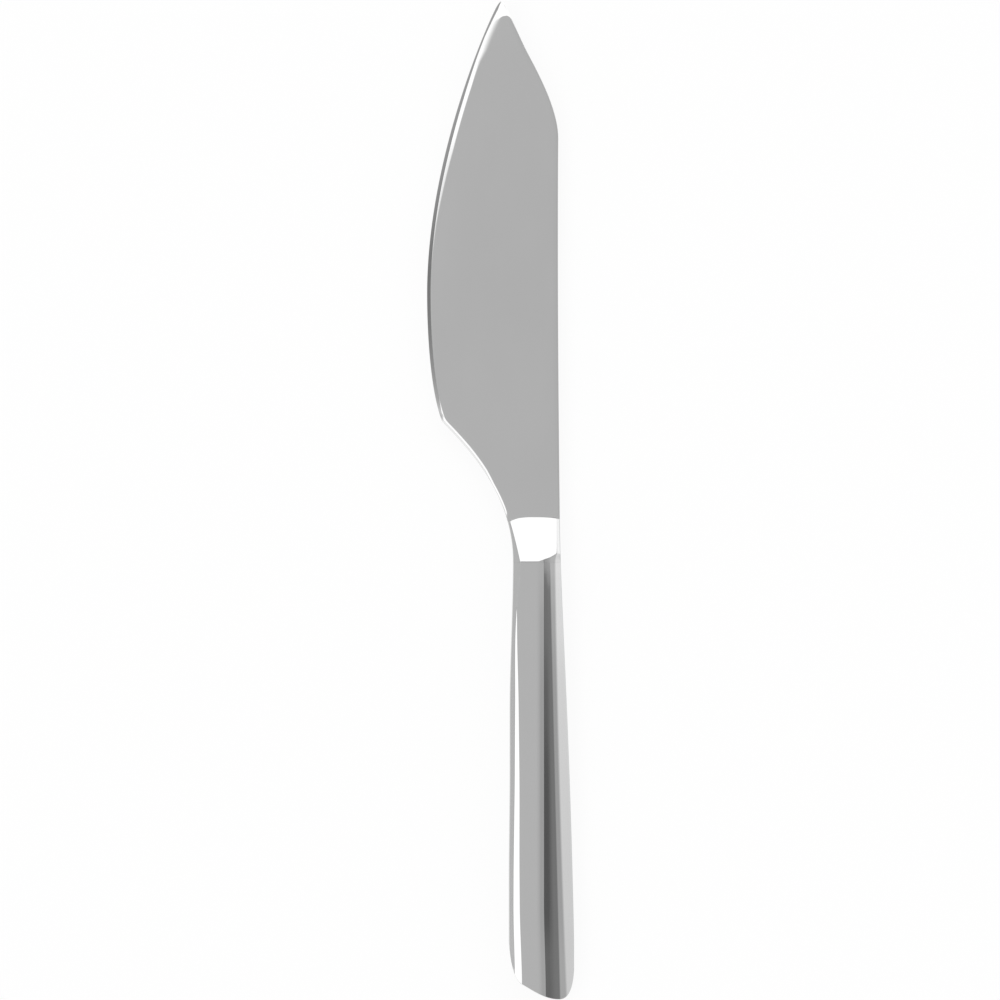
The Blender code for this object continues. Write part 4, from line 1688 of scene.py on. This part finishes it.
@dataclass(frozen=True)
class Studio:
    """White table, soft studio light and the camera straight above.

    The light is a sky of pale and dark panels with soft edges. Its directions are read as two angles from
    straight up, in degrees: across the knife, positive to the spine's side, and along it, positive to the
    tip. A pair of angles is where a panel's edge starts and where it ends.

    Fields:
        picture_width: width of the picture at the knife, in millimetres.
        picture_centre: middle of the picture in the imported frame, in millimetres.
        lens: focal length, in millimetres.
        sensor: width of the sensor, in millimetres.
        table_size: width of the table's sheet, in metres.
        table_gap: gap between the knife and the sheet, in metres.
        table_tone: grey of the sheet.
        table_play: part of that grey by which its fibres are darker.
        table_fibres: pattern of the fibres.
        table_white: share of plain white in what the camera and the steel see of the sheet.
        across: brightness of the sky by the angle across the knife.
        brightest: greatest brightness that the ramp of those panels can hold.
        dark_start: edge of the dark panel on the edge's side that is nearer to straight up.
        dark_end: its other edge.
        dark_butt: brightness that this panel gains towards the butt.
        dark_butt_run: angles below straight up over which it gains that.
        dark_tip: brightness that it gains towards the tip.
        dark_tip_run: angles along the knife over which it gains that.
        tip_level: brightness of the panel beyond the tip.
        tip_near: its edge that is nearer to straight up.
        tip_far: its other edge.
        tip_lean: how far the nearer edge leans back for each degree to the edge's side.
        tip_lean_most: greatest angle across that counts for this.
        tip_set_back: how far the nearer edge stands back on the spine's side.
        tip_set_back_run: angles across over which it does so.
        tip_dim: how much darker the panel is far out on the spine's side.
        tip_dim_run: angles across over which it gets so.
        butt_level: brightness of the panel beyond the butt on the spine's side.
        butt_gain: how much brighter it is on the edge's side.
        butt_gain_run: angles to the edge's side over which it gets so.
        butt_near: its edge that is nearer to straight up.
        butt_far: its other edge.
        butt_side: its edge far out on the edge's side.
        low_level: brightness of the low panel beyond the butt, far out on the edge's side.
        low_near: its upper edge.
        low_side: its edge on the side of the knife.
        overhead: brightness of the whole sky just before straight up.
        overhead_dip: how much less that is past straight up.
        overhead_dip_run: angles along the knife over which it dips.
        overhead_lift: how much more it is a little further on.
        overhead_lift_run: angles along the knife over which it lifts.
    """

    picture_width: float = 265.27
    picture_centre: Point = (-0.2, 0.0)
    lens: float = 200.0
    sensor: float = 36.0
    table_size: float = 8.0
    table_gap: float = 2e-5
    table_tone: float = 0.96
    table_play: float = 0.005
    table_fibres: Grain = Grain((700.0, 700.0, 700.0), 4.0)
    table_white: float = 0.90
    across: tuple[Point, ...] = (
        (-90.0, 0.70),
        (-78.0, 0.70),
        (-72.0, 0.28),
        (-42.0, 0.26),
        (-36.0, 1.65),
        (-16.0, 1.65),
        (-4.0, 0.71),
        (0.0, 0.69),
        (6.0, 0.62),
        (10.0, 0.45),
        (15.0, 0.11),
        (20.0, 0.13),
        (26.0, 0.26),
        (31.0, 0.39),
        (38.0, 0.46),
        (46.0, 0.49),
        (52.0, 0.59),
        (56.0, 0.68),
        (62.0, 0.78),
        (67.0, 0.92),
        (70.0, 1.0),
        (75.0, 1.12),
        (90.0, 1.12),
    )
    brightest: float = 2.0
    dark_start: Point = (-44.0, -40.0)
    dark_end: Point = (-79.0, -74.0)
    dark_butt: float = 0.5
    dark_butt_run: Point = (-8.0, 37.0)
    dark_tip: float = 0.25
    dark_tip_run: Point = (8.0, 48.0)
    tip_level: float = 1.65
    tip_near: Point = (12.0, 19.0)
    tip_far: Point = (47.0, 56.0)
    tip_lean: float = 0.35
    tip_lean_most: float = 20.0
    tip_set_back: float = 16.0
    tip_set_back_run: Point = (46.0, 54.0)
    tip_dim: float = 0.2
    tip_dim_run: Point = (54.0, 66.0)
    butt_level: float = 0.5
    butt_gain: float = 1.1
    butt_gain_run: Point = (8.0, 22.0)
    butt_near: Point = (14.0, 24.0)
    butt_far: Point = (52.0, 66.0)
    butt_side: Point = (-56.0, -52.0)
    low_level: float = 1.35
    low_near: Point = (62.0, 76.0)
    low_side: Point = (-76.0, -70.0)
    overhead: float = 1.025
    overhead_dip: float = 0.035
    overhead_dip_run: Point = (-0.9, 0.6)
    overhead_lift: float = 0.03
    overhead_lift_run: Point = (2.4, 4.6)

    def table(self, floor: float) -> None:
        """Add the table's white sheet just under the knife.

        Args:
            floor: height of the knife's underside, in metres.
        """
        half = self.table_size / 2
        signs = ((-1, -1), (1, -1), (1, 1), (-1, 1))
        corners = [(x * half, y * half, floor - self.table_gap) for x, y in signs]
        mesh = bpy.data.meshes.new("white_table")
        mesh.from_pydata(corners, [], [(0, 1, 2, 3)])
        material, graph, point = new_material("white_card")
        fibres = graph.noise(point, self.table_fibres)
        colour = graph.grey(self.table_tone * (1 - self.table_play), self.table_tone, fibres)
        card = graph.node("ShaderNodeBsdfDiffuse", None, {"Color": colour})
        white = graph.node("ShaderNodeEmission", None, {"Color": WHITE, "Strength": 1.0})
        ray = graph.node("ShaderNodeLightPath", output="Is Camera Ray")
        direct = (ray + ray["Is Glossy Ray"] + ray["Is Transmission Ray"]).math("MINIMUM", 1.0)
        shader = graph.node("ShaderNodeMixShader", None, {0: direct * self.table_white, 1: card, 2: white})
        graph.node("ShaderNodeOutputMaterial", None, {"Surface": shader})
        mesh.materials.append(material)
        table = bpy.data.objects.new("white_table", mesh)
        bpy.context.scene.collection.objects.link(table)

    def sky(self, across: Shade, along: Shade) -> Shade:
        """Brightness of the sky in one direction.

        A ramp over the angle across gives the first level. Each panel then draws the level to its own by the
        product of its soft edges, and the last factor changes it slightly round straight up.

        Args:
            across: angle across the knife.
            along: angle along the knife.

        Returns:
            The brightness.
        """
        to_edge, to_butt = -across, -along
        stops = [((angle + 90.0) / 180.0, level / self.brightest) for angle, level in self.across]
        share = (across + 90.0) * (1 / 180.0)
        level = across.graph.node("ShaderNodeValToRGB", {"stops": stops}, {"Fac": share}) * self.brightest
        inside = across.rise(*self.dark_start)
        gain = self.dark_butt * to_butt.rise(*self.dark_butt_run)
        gain = gain + self.dark_tip * along.rise(*self.dark_tip_run)
        level = level + (1 - inside) * across.rise(*self.dark_end) * gain
        lean = to_edge.math("MINIMUM", self.tip_lean_most).math("MAXIMUM", 0.0) * self.tip_lean
        leaning = along + lean - self.tip_set_back * across.rise(*self.tip_set_back_run)
        tip = leaning.rise(*self.tip_near) * (1 - along.rise(*self.tip_far)) * inside
        level = level.toward(self.tip_level - self.tip_dim * across.rise(*self.tip_dim_run), tip)
        butt = to_butt.rise(*self.butt_near) * (1 - to_butt.rise(*self.butt_far))
        butt = butt * across.rise(*self.butt_side)
        level = level.toward(self.butt_level + self.butt_gain * to_edge.rise(*self.butt_gain_run), butt)
        low = to_butt.rise(*self.low_near) * (1 - across.rise(*self.low_side))
        level = level.toward(self.low_level, low)
        dip = self.overhead_dip * along.rise(*self.overhead_dip_run)
        return level * (self.overhead - dip + self.overhead_lift * along.rise(*self.overhead_lift_run))

    def light(self) -> None:
        """Hang the sky round the knife. The camera itself sees plain white."""
        world = bpy.data.worlds.new("studio")
        bpy.context.scene.world = world
        world.use_nodes = True
        graph = Graph(world.node_tree)
        direction = graph.node("ShaderNodeTexCoord", output="Generated")
        way = graph.node("ShaderNodeSeparateXYZ", None, {0: direction})
        across, along = (way[axis].math("ARCTAN2", way["Z"]) * math.degrees(1.0) for axis in ("X", "Y"))
        seen = graph.node("ShaderNodeLightPath", output="Is Camera Ray")
        strength = self.sky(across, along).toward(1.0, seen)
        sky = graph.node("ShaderNodeBackground", None, {"Color": WHITE, "Strength": strength})
        graph.node("ShaderNodeOutputWorld", None, {"Surface": sky})

    def camera(self, middle: float) -> None:
        """Put the camera straight above the knife, at the height at which the picture has its width.

        Args:
            middle: height of the knife's middle plane, in metres.
        """
        data = bpy.data.cameras.new("camera")
        data.lens = self.lens
        data.sensor_width = self.sensor
        distance = self.picture_width * MM * self.lens / self.sensor
        made = bpy.data.objects.new("camera", data)
        made.location = (self.picture_centre[0] * MM, self.picture_centre[1] * MM, middle + distance)
        bpy.context.scene.collection.objects.link(made)
        bpy.context.scene.camera = made

    def build(self) -> None:
        """Add the table, the light and the camera."""
        low, high = CAD_BOX
        self.table(low.z)
        self.light()
        self.camera((low.z + high.z) / 2)
        bpy.context.scene.view_settings.view_transform = "Standard"


def dress_cement(material: bpy.types.Material) -> bpy.types.Object:
    """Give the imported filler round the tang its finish. Its solid stays as it is, hidden in the shells.

    Args:
        material: the finish.

    Returns:
        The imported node.
    """
    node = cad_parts["tang_cement"]
    node.data.materials.clear()
    node.data.materials.append(material)
    return node


def main() -> None:
    """Build the studio and every piece in order, and report each piece."""
    logging.basicConfig(level=logging.INFO, format="%(name)s: %(message)s")
    low, high = CAD_BOX
    form = HandleForm()
    blade = Blade(form)
    origin = np.array([low.x / MM + blade.width, high.y / MM - blade.length, (low.z + high.z) / 2 / MM])
    shop = Workshop(Placement(origin))
    Studio().build()
    pieces = blade.build(shop, PolishedSteel("blade_polish", roughness=0.10).material())
    handle_steel = PolishedSteel("handle_polish").material()
    pieces += Bolster(form, blade).build(shop, handle_steel)
    pieces += Grip(form).build(shop, handle_steel, BrazeAlloy("dressed_braze").material())
    pieces.append(dress_cement(CastCement("cast_cement").material()))
    for made in pieces:
        LOG.info("%s: %d faces, %s", made.name, len(made.data.polygons), made.data.materials[0].name)


if __name__ == "__main__":
    main()
